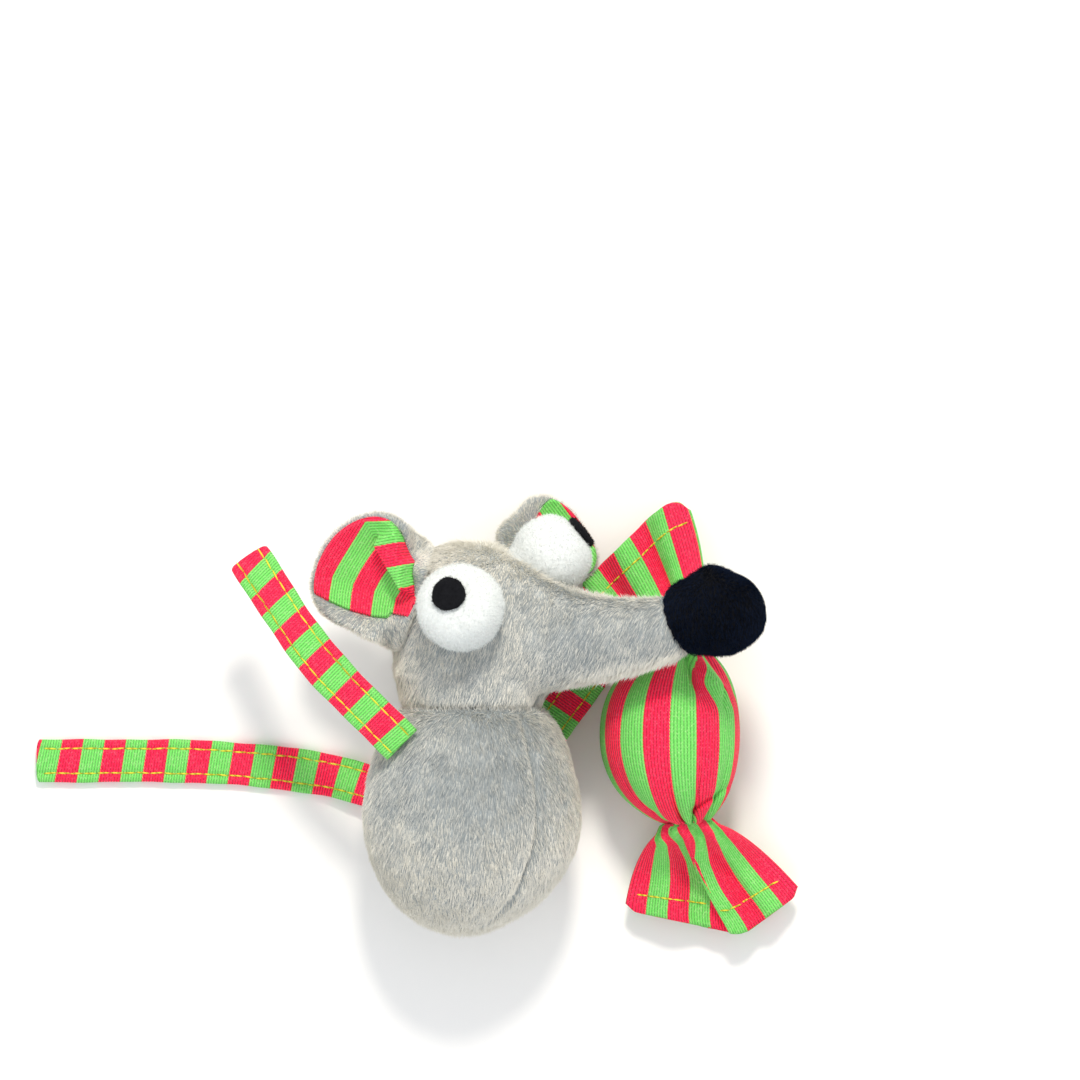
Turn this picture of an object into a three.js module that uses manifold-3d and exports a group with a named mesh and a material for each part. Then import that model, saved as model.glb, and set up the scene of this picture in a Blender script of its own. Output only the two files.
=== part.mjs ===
// A stuffed catnip mouse lying on its back: a plush body and head, striped cotton ears, arms and tail,
// and a striped cotton sweet in its left hand. Millimetres, +Z up. The belly faces up, the head is at +Y
// and the snout points to +X. Left and right are the mouse's own, so its right side is at -X.
import * as THREE from 'three';
import { mergeVertices } from 'three/addons/utils/BufferGeometryUtils.js';
import Module from 'manifold-3d';

const wasm = await Module();
wasm.setup();

const vec = (x, y, z) => new THREE.Vector3(x, y, z);
const rad = THREE.MathUtils.degToRad;

// Cloth and clearances
const gap = 0.3; // between neighbouring pieces
const overcut = 1; // how far a cutting solid runs past what it cuts
const floorClearance = 0.2; // under what lies on the floor beside the body
const plushThickness = 1.5; // backing and laid pile
const feltThickness = 1.0;
const cottonThickness = 0.8; // the wrapper's and linings' cloth, with its hem
const stripThickness = 1.6; // a strip is folded in four

// Body: a pear with round sections about an axis along Y, widest at Y = 0
const bodyRadius = 19.7;
const bodyLowerLength = 20.9; // widest section to the bottom
const bodyUpperTaper = 27; // half axis of the ellipse above the widest section
const neckHeight = 19.2; // widest section to the neck seam
const bodyLean = -1.7; // the bottom's shift along X
const restFlatDepth = 0.5; // how far the back is pressed flat where the toy lies
const seamAngles = { frontLeft: 38, backLeft: 137, backRight: 218, frontRight: 317 }; // from +Z towards +X
const pouchWidth = 13;
const pouchLength = 17;
const pouchThickness = 8;

// Head: a ball that tapers into a snout, on a short neck
const headRadius = 14.8;
const headAboveNeck = 16.1; // neck seam to the ball's centre
const headShift = -0.4; // the ball's centre from the body's axis
const neckTuck = 1.1; // the head's edge is this much inside the body's at the neck seam
const neckLength = 13; // from its seam up into the ball
const neckInset = 0.5; // the neck's widest section inside the ball's radius
const snoutReach = 38; // ball centre to the nose seam, along X
const snoutRise = 11.8; // and towards the viewer
const snoutFall = 0.3; // and towards the body
const snoutLeave = vec(11.4, -3.3, 4.2); // first handle of the snout's curve, from the ball's centre
const snoutArrive = 11.8; // length of its last handle, back along the nose's axis
const browRadius = 13.3;
const cheekRadius = 9.3;
const muzzleRadius = 7.2;
const snoutTipRadius = 5.7;
const snoutStations = [0, 0.22, 0.46, 0.74, 1]; // ball, brow, cheek, muzzle and tip along the curve
const noseAxis = vec(0.88, 0.36, 0.3).normalize();
const noseRadius = 8.1;
const noseLength = 16.6; // nose seam to its tip
const noseHalfLength = 9.1; // widest section to its tip

// Eyes: felt balls with a flat front that carries the pupil
const eyeRadius = 7.8;
const eyeHeight = 11.5; // above the head's ball
const eyeFlatRadius = 3.5;
const eyeRoot = 4.4; // how far the ball runs into the head before it is cut by it
const eyeProfile = [[0.86, 0], [0.97, 0.2], [1, 0.42], [0.93, 0.66], [0.75, 0.86]]; // shares of radius and height
const pupilRadius = 3.1;
const pupilThickness = 0.9;
const eyes = {
  right: { seat: vec(-0.05, 0.09, 0.99), axis: vec(-0.19, 0.24, 0.95) },
  left: { seat: vec(0.78, 0.62, 0), axis: vec(0.78, 0.62, 0) },
}; // from the head ball's centre to the eye's seat, and the way that it looks

// Ears: round cupped leaves with a pinched base
const earRadius = 10.4;
const earBaseInset = 1.2; // the straight base edge is this much inside the round outline
const earNarrowing = 0.16; // share of the radius lost towards the base
const earCup = 3.6; // rim above the middle
const earRimThickness = 2.6;
const earPinch = 0.16; // rise of the base's ends over their distance from its middle
const earLiningShare = 0.84; // lining's radius over the ear's
const ears = {
  right: { seat: vec(-0.6, 0.29, 0.75), tip: vec(-0.85, 0.3, -0.38), facing: vec(-0.35, 0.05, 0.93) },
  left: { seat: vec(0.65, 0.41, -0.58), tip: vec(0.3, 0.88, -0.34), facing: vec(0.25, 0, 0.97) },
}; // from the head ball's centre to the base, from the base to the tip, and the way that the cup opens

// Arms and tail: flat strips
const stripWidth = 7.8;
const stripLevelShare = 0.5; // share of a strip's length over which it turns level
const rightArmReach = vec(-28, 34.1, -8); // root to hand
const rightArmBow = vec(-1.5, -1.1, 2.4); // of its middle, off the straight line
const rightArmHeight = 12.5; // its root's place along the body
const leftArmHeight = 12.9;
const handShare = 0.66; // the stitches' place between the upper tie and its hem
const handOffset = 1.25; // and off the frill's middle
const handOverhang = 7.5; // from the stitches to the end of the left hand
const tailHeight = 3;
const tailReach = 66.8;
const tailDrop = 6.7; // how far the tail's end lies towards the head from its root
const tailTouchdown = 14; // from its root to where it lies flat

// Sweet: a stuffed ball between two frills, lying on the floor beside the body
const candyRadius = 12.8;
const candyLength = 31.3; // tie to tie
const candyBulge = 2.9; // the ball's middle is this much nearer to the body than the ties
const candyToBody = 3.5;
const candyHeight = -1.3; // lower tie's place along the body
const candyNeckRadius = 2.3;
const candyNeckLength = 3;
const candyBore = 0.7; // half the opening left in each drawn-in neck
const gatherCount = 8;
const gatherDepth = 0.1; // share of the radius beside the ties
const frillHalfThickness = 1.15; // two layers of cloth and the air between
const upperFrill = { axis: vec(-10, 17.6, 0), across: vec(19.4, 15.8, 0), bulge: 0.6, drop: 7, pleat: 0.7 };
const lowerFrill = { axis: vec(3.7, -14.5, 0), across: vec(31.1, 5.5, 0), bulge: 5.3, drop: 7.6, pleat: 1.7 };
const frillFlare = 0.52; // how fast a frill widens from its tie
const frillPleats = 2.5;
const frillSlope = 0.6; // share of a frill's length over which it comes down
const tieThickness = 1.1;
const tieClearance = 0.4;

// Facets
const roundSides = 28;
const smallSides = 20;
const wrapperSides = 28;

// Derived places
const bodyAxisZ = bodyRadius - restFlatDepth;
const headCentre = vec(headShift, neckHeight + headAboveNeck, bodyAxisZ);
const snoutTip = headCentre.clone().add(vec(snoutReach, -snoutFall, snoutRise));

// Closed solid from a row of rings with equal, even numbers of points. Each end is closed by a band
// between the points that lie across from each other, so that a flat, wavy loop closes cleanly.
function loft(rings) {
  const count = rings[0].length;
  const points = rings.flat();
  const index = [];
  const face = (a, b, c, d) => index.push(a, b, c, a, c, d);
  for (let i = 0; i + 1 < rings.length; i += 1) {
    for (let j = 0; j < count; j += 1) {
      const a = i * count + j;
      const b = i * count + ((j + 1) % count);
      face(a, b, b + count, a + count);
    }
  }
  const last = (rings.length - 1) * count;
  const half = count / 2;
  index.push(0, count - 1, 1, last, last + 1, last + count - 1);
  for (let j = 1; j + 1 < half; j += 1) {
    face(j, count - j, count - j - 1, j + 1);
    face(last + j, last + j + 1, last + count - j - 1, last + count - j);
  }
  index.push(half - 1, half + 1, half, last + half - 1, last + half, last + half + 1);
  const geometry = new THREE.BufferGeometry().setFromPoints(points);
  geometry.setIndex(signedVolume(points, index) < 0 ? index.reverse() : index);
  return geometry;
}

function signedVolume(points, index) {
  let sum = 0;
  const cross = vec(0, 0, 0);
  for (let i = 0; i < index.length; i += 3) {
    cross.crossVectors(points[index[i + 1]], points[index[i + 2]]);
    sum += points[index[i]].dot(cross);
  }
  return sum;
}

// Ring of points about a centre in the plane of two unit directions
function ring(centre, across, up, halfWidth, halfHeight, count) {
  return Array.from({ length: count }, (_, k) => {
    const angle = (2 * Math.PI * k) / count;
    return centre
      .clone()
      .addScaledVector(across, halfWidth * Math.cos(angle))
      .addScaledVector(up, halfHeight * Math.sin(angle));
  });
}

function toSolid(geometry) {
  const bare = geometry.clone();
  bare.deleteAttribute('normal');
  bare.deleteAttribute('uv');
  const merged = mergeVertices(bare, 1e-4);
  return new wasm.Manifold(
    new wasm.Mesh({
      numProp: 3,
      vertProperties: merged.attributes.position.array,
      triVerts: new Uint32Array(merged.index.array),
    }),
  );
}

function toGeometry(solid) {
  const mesh = solid.getMesh();
  const geometry = new THREE.BufferGeometry();
  geometry.setAttribute('position', new THREE.BufferAttribute(mesh.vertProperties, 3));
  geometry.setIndex(new THREE.BufferAttribute(mesh.triVerts, 1));
  geometry.computeVertexNormals();
  return geometry;
}

// Solid of revolution about an axis through a point, from (radius, height) pairs
function revolve(profile, origin, axis, sides) {
  const geometry = new THREE.LatheGeometry(profile.map(([r, h]) => new THREE.Vector2(r, h)), sides);
  geometry.applyQuaternion(new THREE.Quaternion().setFromUnitVectors(vec(0, 1, 0), axis));
  geometry.translate(origin.x, origin.y, origin.z);
  return toSolid(geometry);
}

// Prism along Y with an outline of (x, z) pairs
function prismAlongY(outline, low, high) {
  const shape = new THREE.Shape(outline.map(([x, z]) => new THREE.Vector2(x, z)));
  const geometry = new THREE.ExtrudeGeometry(shape, { depth: high - low, bevelEnabled: false });
  geometry.rotateX(Math.PI / 2);
  geometry.translate(0, high, 0);
  return toSolid(geometry);
}

// Body
const bodyReach = 2 * (bodyRadius + bodyUpperTaper + bodyLowerLength); // longer than anything it cuts

function bodyRadiusAt(height, grow = 0) {
  const half = (height < 0 ? bodyLowerLength : bodyUpperTaper) + grow;
  return (bodyRadius + grow) * Math.sqrt(Math.max(0, 1 - (height / half) ** 2));
}

// Pear grown outwards by an amount, closed flat at a height
function bodySolid(grow, top) {
  const lowerRows = 6;
  const upperRows = 4;
  const low = -bodyLowerLength - grow;
  const profile = [[0, low]];
  for (let i = 1; i <= lowerRows; i += 1) {
    const height = low * Math.cos((Math.PI / 2) * (i / lowerRows));
    profile.push([bodyRadiusAt(height, grow), height]);
  }
  for (let i = 1; i <= upperRows; i += 1) {
    const height = (top * i) / upperRows;
    profile.push([bodyRadiusAt(height, grow), height]);
  }
  profile.push([0, top]);
  return revolve(profile, vec(0, 0, bodyAxisZ), vec(0, 1, 0), roundSides).warp((point) => {
    point[0] += bodyLean * (Math.min(point[1], 0) / bodyLowerLength) ** 2;
  });
}

const belowFloor = prismAlongY(
  [[-bodyReach, -bodyReach], [bodyReach, -bodyReach], [bodyReach, 0], [-bodyReach, 0]],
  -bodyReach,
  bodyReach,
);

// Wedge of the body between two seams, half a gap inside each
function seamWedge(fromAngle, toAngle) {
  const half = rad(toAngle - fromAngle) / 2;
  const middle = rad(fromAngle) + half;
  const apex = gap / 2 / Math.sin(half);
  const corner = (angle, distance) => [Math.sin(angle) * distance, bodyAxisZ + Math.cos(angle) * distance];
  const [x, z] = corner(middle, apex);
  const sides = [middle - half, middle + half].map((angle) => {
    const [dx, dz] = corner(angle, bodyReach);
    return [x + dx, z + dz - bodyAxisZ];
  });
  return prismAlongY([[x, z], sides[1], sides[0]], -bodyReach, bodyReach);
}

const bodyCover = bodySolid(0, neckHeight)
  .subtract(bodySolid(-plushThickness, neckHeight + overcut))
  .subtract(belowFloor);
const { frontLeft, backLeft, backRight, frontRight } = seamAngles;
const fullTurn = 360;
const bodyPanels = {
  body_front_panel: seamWedge(frontRight - fullTurn, frontLeft),
  body_left_panel: seamWedge(frontLeft, backLeft),
  body_back_panel: seamWedge(backLeft, backRight),
  body_right_panel: seamWedge(backRight, frontRight),
};

// Point on the body's skin at a height and an angle from +Z towards +X, and the normal there
function onBody(height, angle) {
  const out = bodyRadiusAt(height);
  return vec(Math.sin(rad(angle)) * out, height, bodyAxisZ + Math.cos(rad(angle)) * out);
}

function bodyNormal(height, angle) {
  const half = height < 0 ? bodyLowerLength : bodyUpperTaper;
  const slope = ((bodyRadius / half) ** 2 * height) / bodyRadiusAt(height);
  return vec(Math.sin(rad(angle)), slope, Math.cos(rad(angle))).normalize();
}

// Middle of a strip's root on a seam, and the upper side's direction where it lies along the skin
function stripRoot(height, angle) {
  return onBody(height, angle).addScaledVector(bodyNormal(height, angle), gap + stripThickness / 2);
}

function stripRootUp(height, angle) {
  const normal = bodyNormal(height, angle);
  return normal.z < 0 ? normal.negate() : normal;
}

// Fill of the body in two wads, with a pocket between them for the pouch
const pouchCentre = vec(0, 0, bodyAxisZ);
function pouchSolid(grow) {
  const geometry = new THREE.SphereGeometry(1, smallSides, smallSides / 2);
  geometry.scale(pouchWidth / 2 + grow, pouchLength / 2 + grow, pouchThickness / 2 + grow);
  geometry.translate(pouchCentre.x, pouchCentre.y, pouchCentre.z);
  return toSolid(geometry);
}

function halfSpaceZ(low, high) {
  return prismAlongY([[-bodyReach, low], [bodyReach, low], [bodyReach, high], [-bodyReach, high]], -bodyReach, bodyReach);
}

const bodyFill = bodySolid(-plushThickness - gap, neckHeight - gap).subtract(pouchSolid(gap));

// Head
const headPath = new THREE.CubicBezierCurve3(
  headCentre,
  headCentre.clone().add(snoutLeave),
  snoutTip.clone().addScaledVector(noseAxis, -snoutArrive),
  snoutTip,
);
const snoutSpread = new THREE.CubicInterpolant(
  snoutStations,
  [headRadius, browRadius, cheekRadius, muzzleRadius, snoutTipRadius],
  1,
);

// Ball and snout, with every section grown by an amount and the snout's end moved by another
function headBallAndSnout(grow, endShift) {
  const backRows = 5;
  const snoutRows = 9;
  const side = (tangent) => vec(0, 1, 0).cross(tangent).normalize();
  const rings = [];
  const back = headPath.getTangent(0);
  const backRadius = headRadius + grow;
  for (let i = 1; i <= backRows; i += 1) {
    const angle = (Math.PI / 2) * (i / (backRows + 1));
    const centre = headCentre.clone().addScaledVector(back, -backRadius * Math.cos(angle));
    const across = side(back);
    const up = back.clone().cross(across);
    const r = backRadius * Math.sin(angle);
    rings.push(ring(centre, across, up, r, r, smallSides));
  }
  for (let i = 0; i <= snoutRows; i += 1) {
    const t = i / snoutRows;
    const tangent = headPath.getTangent(t);
    const across = side(tangent);
    const up = tangent.clone().cross(across);
    const centre = headPath.getPoint(t);
    if (i === snoutRows) {
      centre.addScaledVector(tangent, endShift);
    }
    const r = snoutSpread.evaluate(t)[0] + grow;
    rings.push(ring(centre, across, up, r, r, smallSides));
  }
  return toSolid(loft(rings));
}

function headNeck(grow, bottom) {
  const base = bodyRadiusAt(neckHeight) - neckTuck + grow;
  const full = headRadius - neckInset + grow;
  const profile = [
    [0, bottom],
    [base, bottom],
    [(base + 2 * full) / 3, neckHeight + neckLength * 0.3],
    [full, neckHeight + neckLength * 0.7],
    [full - neckTuck, neckHeight + neckLength],
    [0, neckHeight + neckLength],
  ];
  return revolve(profile, vec(0, 0, bodyAxisZ), vec(0, 1, 0), roundSides);
}

const aboveNeck = neckHeight + gap;
const belowNeckCut = prismAlongY(
  [[-bodyReach, -bodyReach], [bodyReach, -bodyReach], [bodyReach, bodyReach], [-bodyReach, bodyReach]],
  -bodyReach,
  aboveNeck,
);

function headSolid(grow, bottom, endShift) {
  return headBallAndSnout(grow, endShift).add(headNeck(grow, bottom));
}

const headCover = headSolid(0, aboveNeck, 0)
  .subtract(headSolid(-plushThickness, aboveNeck - overcut, overcut))
  .subtract(belowNeckCut);

// The crown and chin seams follow the snout's middle, so the cover is cut by a wall along Y through it
function headSide(front) {
  const along = [0, 0.15, 0.3, 0.5, 0.75, 1].map((t) => headPath.getPoint(t));
  const shift = (front ? gap : -gap) / 2;
  const line = along.map((p) => [p.x, p.z + shift]);
  const [x0, z0] = line[0];
  const [x1, z1] = line[line.length - 1];
  const far = front ? bodyReach : -bodyReach;
  const outline = [[x0 - bodyReach, z0 - bodyReach * 0.8], ...line, [x1 + bodyReach, z1 + bodyReach * 0.25]];
  outline.push([x1 + bodyReach, z1 + far * 2], [x0 - bodyReach, z0 + far * 2]);
  return prismAlongY(front ? outline : outline.reverse(), -bodyReach, bodyReach);
}

const headFill = headSolid(-plushThickness - gap, aboveNeck, -gap)
  .subtract(belowNeckCut)
  .subtract(belowNeckCut.translate([0, gap, 0]));
const headKeepOut = headSolid(gap, aboveNeck - overcut, gap);

// Nose: a ball cut off at its seam, open there so that its fill meets the snout's
function noseProfile(inset, start) {
  const half = noseHalfLength;
  const middle = noseLength - half;
  const rows = 6;
  const profile = [];
  for (let i = 0; i <= rows; i += 1) {
    const height = start + (middle + half - inset - start) * Math.sin((Math.PI / 2) * (i / rows));
    const share = Math.min(1, Math.abs(height - middle) / (half - inset));
    profile.push([(noseRadius - inset) * Math.sqrt(1 - share * share), height]);
  }
  profile[rows][0] = 0;
  return profile;
}

const noseCover = revolve(
  [...noseProfile(plushThickness, gap).reverse(), ...noseProfile(0, gap)],
  snoutTip,
  noseAxis,
  smallSides,
);
const noseFill = revolve([[0, gap], ...noseProfile(plushThickness + gap, gap)], snoutTip, noseAxis, smallSides);

// Point at a height over the head's ball
function onHead(direction, lift) {
  return headCentre.clone().addScaledVector(direction.clone().normalize(), headRadius + lift);
}

// Eyes
function eyeSolid(base, axis, inset) {
  const [low] = eyeProfile[0];
  const high = eyeProfile[eyeProfile.length - 1][1];
  const profile = [[0, -eyeRoot], [eyeRadius * low - inset, -eyeRoot]];
  eyeProfile.forEach(([width, height]) => {
    profile.push([eyeRadius * width - inset, eyeHeight * height - inset * (height / high) ** 4]);
  });
  profile.push([eyeFlatRadius - inset / 2, eyeHeight - inset], [0, eyeHeight - inset]);
  return revolve(profile, base, axis, smallSides);
}

function eyePieces(side) {
  const base = onHead(eyes[side].seat, 0);
  const axis = eyes[side].axis.clone().normalize();
  const cover = eyeSolid(base, axis, 0).subtract(eyeSolid(base, axis, feltThickness)).subtract(headKeepOut);
  const fill = eyeSolid(base, axis, feltThickness + gap).subtract(headKeepOut);
  const front = base.clone().addScaledVector(axis, eyeHeight + gap);
  const disc = [[0, 0], [pupilRadius, 0], [pupilRadius, pupilThickness], [0, pupilThickness]];
  return {
    [`${side}_eye_cover`]: cover,
    [`${side}_eye_stuffing`]: fill,
    [`${side}_pupil`]: revolve(disc, front, axis, smallSides),
  };
}

// Ears: local x runs from the base to the tip, y along the base and z out of the cup
function earLeaf(share, rise, thicknessAt) {
  const rows = 4;
  const middle = earRadius - earBaseInset;
  const grid = (side) =>
    Array.from({ length: rows }, (_, i) =>
      Array.from({ length: smallSides }, (_, k) => {
        const angle = (2 * Math.PI * k) / smallSides;
        const out = (i + 1) / rows;
        const straight = Math.cos(angle) < 0 ? middle / -Math.cos(angle) : Infinity;
        const round = earRadius * (1 - earNarrowing * Math.max(0, -Math.cos(angle)));
        const reach = Math.min(round, straight) * share * out;
        const x = middle + reach * Math.cos(angle);
        const y = reach * Math.sin(angle);
        const bowl = (earCup * (reach ** 2 - middle ** 2)) / earRadius ** 2;
        const pinch = earPinch * Math.abs(y) * Math.max(0, 1 - x / middle);
        return vec(x, y, rise + bowl + pinch + side * thicknessAt(out) * 0.5);
      }),
    );
  return loft([...grid(-1), ...grid(1).reverse()]);
}

// Direction made square to another
function squareTo(direction, other) {
  const unit = other.clone().normalize();
  return direction.clone().addScaledVector(unit, -direction.dot(unit)).normalize();
}

function earPieces(side) {
  const base = onHead(ears[side].seat, gap);
  const toTip = ears[side].tip.clone().normalize();
  const facing = squareTo(ears[side].facing, toTip);
  const place = new THREE.Matrix4()
    .makeBasis(toTip, facing.clone().cross(toTip), facing)
    .setPosition(base.x, base.y, base.z);
  const back = earLeaf(1, 0, (out) => THREE.MathUtils.lerp(plushThickness, earRimThickness, out ** 4));
  const lining = earLeaf(earLiningShare, plushThickness / 2 + gap + cottonThickness, () => cottonThickness);
  return {
    [`${side}_ear_back`]: toSolid(back.applyMatrix4(place)).subtract(headKeepOut),
    [`${side}_ear_lining`]: toSolid(lining.applyMatrix4(place)).subtract(headKeepOut),
  };
}

// Strips: a rounded flat section swept along a path. The root lies along the skin, and is round so that it
// can bend at its seam; from there the strip turns level.
function strip(path, rootUp, rows) {
  const width = stripWidth;
  const rings = [];
  const section = (t, thickness) => {
    const tangent = path.getTangent(t);
    const lean = rootUp.clone().lerp(vec(0, 0, 1), THREE.MathUtils.smoothstep(t, 0, stripLevelShare));
    const across = lean.cross(tangent).normalize();
    const up = tangent.clone().cross(across);
    const half = thickness / 2;
    const corner = Math.min(half * 0.6, stripThickness * 0.3);
    const outline = [
      [1, half - corner], [1 - corner / width * 2, half], [-1 + corner / width * 2, half], [-1, half - corner],
      [-1, corner - half], [-1 + corner / width * 2, -half], [1 - corner / width * 2, -half], [1, corner - half],
    ];
    return outline.map(([a, b]) =>
      path.getPoint(t).addScaledVector(across, (a * width) / 2).addScaledVector(up, b));
  };
  const length = path.getLength();
  const rootRows = 3;
  for (let i = 1; i <= rootRows; i += 1) {
    const angle = (Math.PI / 2) * (i / (rootRows + 1));
    const inset = (stripThickness / 2) * (1 - Math.sin(angle));
    rings.push(section(inset / length, stripThickness * Math.cos(Math.PI / 2 - angle)));
  }
  const start = stripThickness / 2 / length;
  for (let i = 0; i <= rows; i += 1) {
    rings.push(section(start + (1 - start) * (i / rows), stripThickness));
  }
  return toSolid(loft(rings));
}

const rightArmRoot = stripRoot(rightArmHeight, frontRight);
const rightArmEnd = rightArmRoot.clone().add(rightArmReach);
const rightArmMiddle = rightArmRoot.clone().lerp(rightArmEnd, 0.5).add(rightArmBow);
const rightArmPath = new THREE.CatmullRomCurve3([rightArmRoot, rightArmMiddle, rightArmEnd]);

const tailRoot = stripRoot(tailHeight, backRight);
const tailLieZ = stripThickness / 2 + floorClearance;
const tailPath = new THREE.CatmullRomCurve3([
  tailRoot,
  vec(tailRoot.x - tailTouchdown / 2, tailHeight + tailDrop * 0.35, (tailRoot.z + tailLieZ) / 2),
  vec(tailRoot.x - tailTouchdown, tailHeight + tailDrop * 0.62, tailLieZ),
  vec(tailRoot.x - tailReach / 2, tailHeight + tailDrop * 0.95, tailLieZ),
  vec(tailRoot.x - tailReach, tailHeight + tailDrop, tailLieZ),
]);

// Sweet
const candyTieX = bodyRadius + candyToBody + candyRadius + candyBulge;
const candyZ = candyRadius + floorClearance;
const lowerTie = vec(candyTieX, candyHeight, candyZ);
const upperTie = vec(candyTieX, candyHeight + candyLength, candyZ);

// Ring of the ball at a share of the way from the upper to the lower tie
function ballRing(share, inset, count) {
  const start = upperTie.y - candyNeckLength / 2;
  const height = start - (candyLength - candyNeckLength) * share;
  const round = Math.sqrt(Math.max(0, 1 - Math.abs(2 * share - 1) ** 2.4));
  const neck = Math.max(candyNeckRadius - inset, candyBore);
  const radius = neck + (candyRadius - inset - neck) * round;
  const centre = vec(candyTieX - candyBulge * round, height, candyZ);
  const drawn = gatherDepth * (1 - round) * Math.min(1, round * 4);
  return Array.from({ length: count }, (_, k) => {
    const angle = (2 * Math.PI * k) / count;
    const r = radius * (1 - drawn * (1 + Math.cos(gatherCount * angle)));
    return centre.clone().add(vec(-r * Math.cos(angle), 0, r * Math.sin(angle)));
  });
}

// Ring of a frill at a share of the way from its neck to its hem: a flat loop that waves in pleats
function frillRing(tie, frill, share, inset) {
  const axis = frill.axis.clone().normalize();
  const across = frill.across.clone().normalize();
  const reach = frill.axis.length();
  const neck = Math.max(candyNeckRadius - inset, candyBore);
  const halfWidth = neck + (frill.across.length() / 2 - inset - neck) * share ** frillFlare;
  const flat = Math.max(frillHalfThickness - inset, frillHalfThickness * 0.2);
  const halfThickness = neck + (flat - neck) * Math.sqrt(Math.min(share, 1));
  const start = tie.clone().addScaledVector(axis, candyNeckLength / 2);
  const sag = frill.drop * THREE.MathUtils.smoothstep(share, 0, frillSlope);
  return Array.from({ length: wrapperSides }, (_, k) => {
    const angle = (2 * Math.PI * k) / wrapperSides;
    const side = -Math.cos(angle);
    const layer = Math.sign(Math.sin(angle)) * Math.abs(Math.sin(angle)) ** (1 - 0.6 * Math.min(share, 1));
    const wave = Math.cos(Math.PI * frillPleats * (side + 1)) * frill.pleat * share;
    return start
      .clone()
      .addScaledVector(axis, (reach + frill.bulge * (1 - side * side)) * share)
      .addScaledVector(across, side * halfWidth)
      .add(vec(0, 0, layer * halfThickness + wave - sag));
  });
}

function wrapperSolid(inset, overrun) {
  const frillShares = [0, 0.1, 0.35, 0.68, 1 + overrun];
  const ballShares = [0, 0.015, 0.07, 0.19, 0.36, 0.64, 0.81, 0.93, 0.985, 1];
  return toSolid(
    loft([
      ...frillShares.toReversed().map((share) => frillRing(upperTie, upperFrill, share, inset)),
      ...ballShares.map((share) => ballRing(share, inset, wrapperSides)),
      ...frillShares.map((share) => frillRing(lowerTie, lowerFrill, share, inset)),
    ]),
  );
}

const candyWrapper = wrapperSolid(0, 0).subtract(wrapperSolid(cottonThickness, 0.06));
const fillShares = [0.07, 0.19, 0.36, 0.64, 0.81, 0.93];
const candyFill = toSolid(
  loft(fillShares.map((share) => ballRing(share, cottonThickness + gap, wrapperSides))),
);

// Thread wound round a neck and pulled tight
function tieSolid(tie, axis) {
  const inner = candyNeckRadius + tieClearance;
  const profile = Array.from({ length: 9 }, (_, k) => {
    const angle = (2 * Math.PI * k) / 8;
    return [inner + (tieThickness / 2) * (1 + Math.cos(angle)), (tieThickness / 2) * Math.sin(angle)];
  });
  return revolve(profile, tie, axis, smallSides);
}

const upperTieAxis = upperFrill.axis.clone().normalize().add(vec(0, 1, 0)).normalize();
const lowerTieAxis = lowerFrill.axis.clone().normalize().negate().add(vec(0, 1, 0)).normalize();

// Left arm: from the back left seam to the stitches under the upper frill
const handStitches = upperTie
  .clone()
  .addScaledVector(upperFrill.axis, handShare)
  .addScaledVector(upperFrill.across.clone().normalize(), handOffset);
handStitches.z = candyZ - upperFrill.drop - frillHalfThickness - upperFrill.pleat - gap - stripThickness / 2;
const leftArmRoot = stripRoot(leftArmHeight, backLeft);
const leftArmWay = handStitches.clone().sub(leftArmRoot).setZ(0).normalize();
const leftArmEnd = handStitches.clone().addScaledVector(leftArmWay, handOverhang);
const leftArmMiddle = leftArmRoot.clone().lerp(handStitches, 0.5);
const leftArmPath = new THREE.CatmullRomCurve3([leftArmRoot, leftArmMiddle, handStitches, leftArmEnd]);

// Scene graph
const mouse = new THREE.Group();
const finishes = {
  plush: { color: 0xb0b3b0, roughness: 0.95 },
  nosePlush: { color: 0x15161d, roughness: 0.9 },
  felt: { color: 0xf2f3ef, roughness: 0.92 },
  blackFelt: { color: 0x141418, roughness: 0.92 },
  cotton: { color: 0xe8384f, roughness: 0.85 },
  fibre: { color: 0xf4f2ea, roughness: 0.95 },
  catnip: { color: 0x6f7a4a, roughness: 0.95 },
  thread: { color: 0xd8cf4a, roughness: 0.7 },
};

function place(group, pieces, finish) {
  Object.entries(pieces).forEach(([name, solid]) => {
    const material = new THREE.MeshStandardMaterial({ ...finishes[finish], metalness: 0 });
    const mesh = new THREE.Mesh(toGeometry(solid), material);
    mesh.name = name;
    group.add(mesh);
  });
}

function bodyGroup() {
  const group = new THREE.Group();
  mouse.add(group);
  return group;
}

const torso = bodyGroup();
const panels = Object.entries(bodyPanels).map(([name, wedge]) => [name, bodyCover.intersect(wedge)]);
place(torso, Object.fromEntries(panels), 'plush');
place(
  torso,
  {
    body_front_stuffing: bodyFill.intersect(halfSpaceZ(bodyAxisZ + gap / 2, bodyReach)),
    body_back_stuffing: bodyFill.intersect(halfSpaceZ(-bodyReach, bodyAxisZ - gap / 2)),
  },
  'fibre',
);
place(torso, { catnip_pouch: pouchSolid(0) }, 'catnip');

const head = bodyGroup();
place(
  head,
  {
    head_right_panel: headCover.intersect(headSide(true)),
    head_left_panel: headCover.intersect(headSide(false)),
  },
  'plush',
);
place(head, { head_stuffing: headFill, nose_stuffing: noseFill }, 'fibre');
place(head, { nose_cover: noseCover }, 'nosePlush');
['right', 'left'].forEach((side) => {
  const eye = eyePieces(side);
  const pick = (part) => ({ [`${side}_${part}`]: eye[`${side}_${part}`] });
  place(head, pick('eye_cover'), 'felt');
  place(head, pick('eye_stuffing'), 'fibre');
  place(head, pick('pupil'), 'blackFelt');
});

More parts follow.
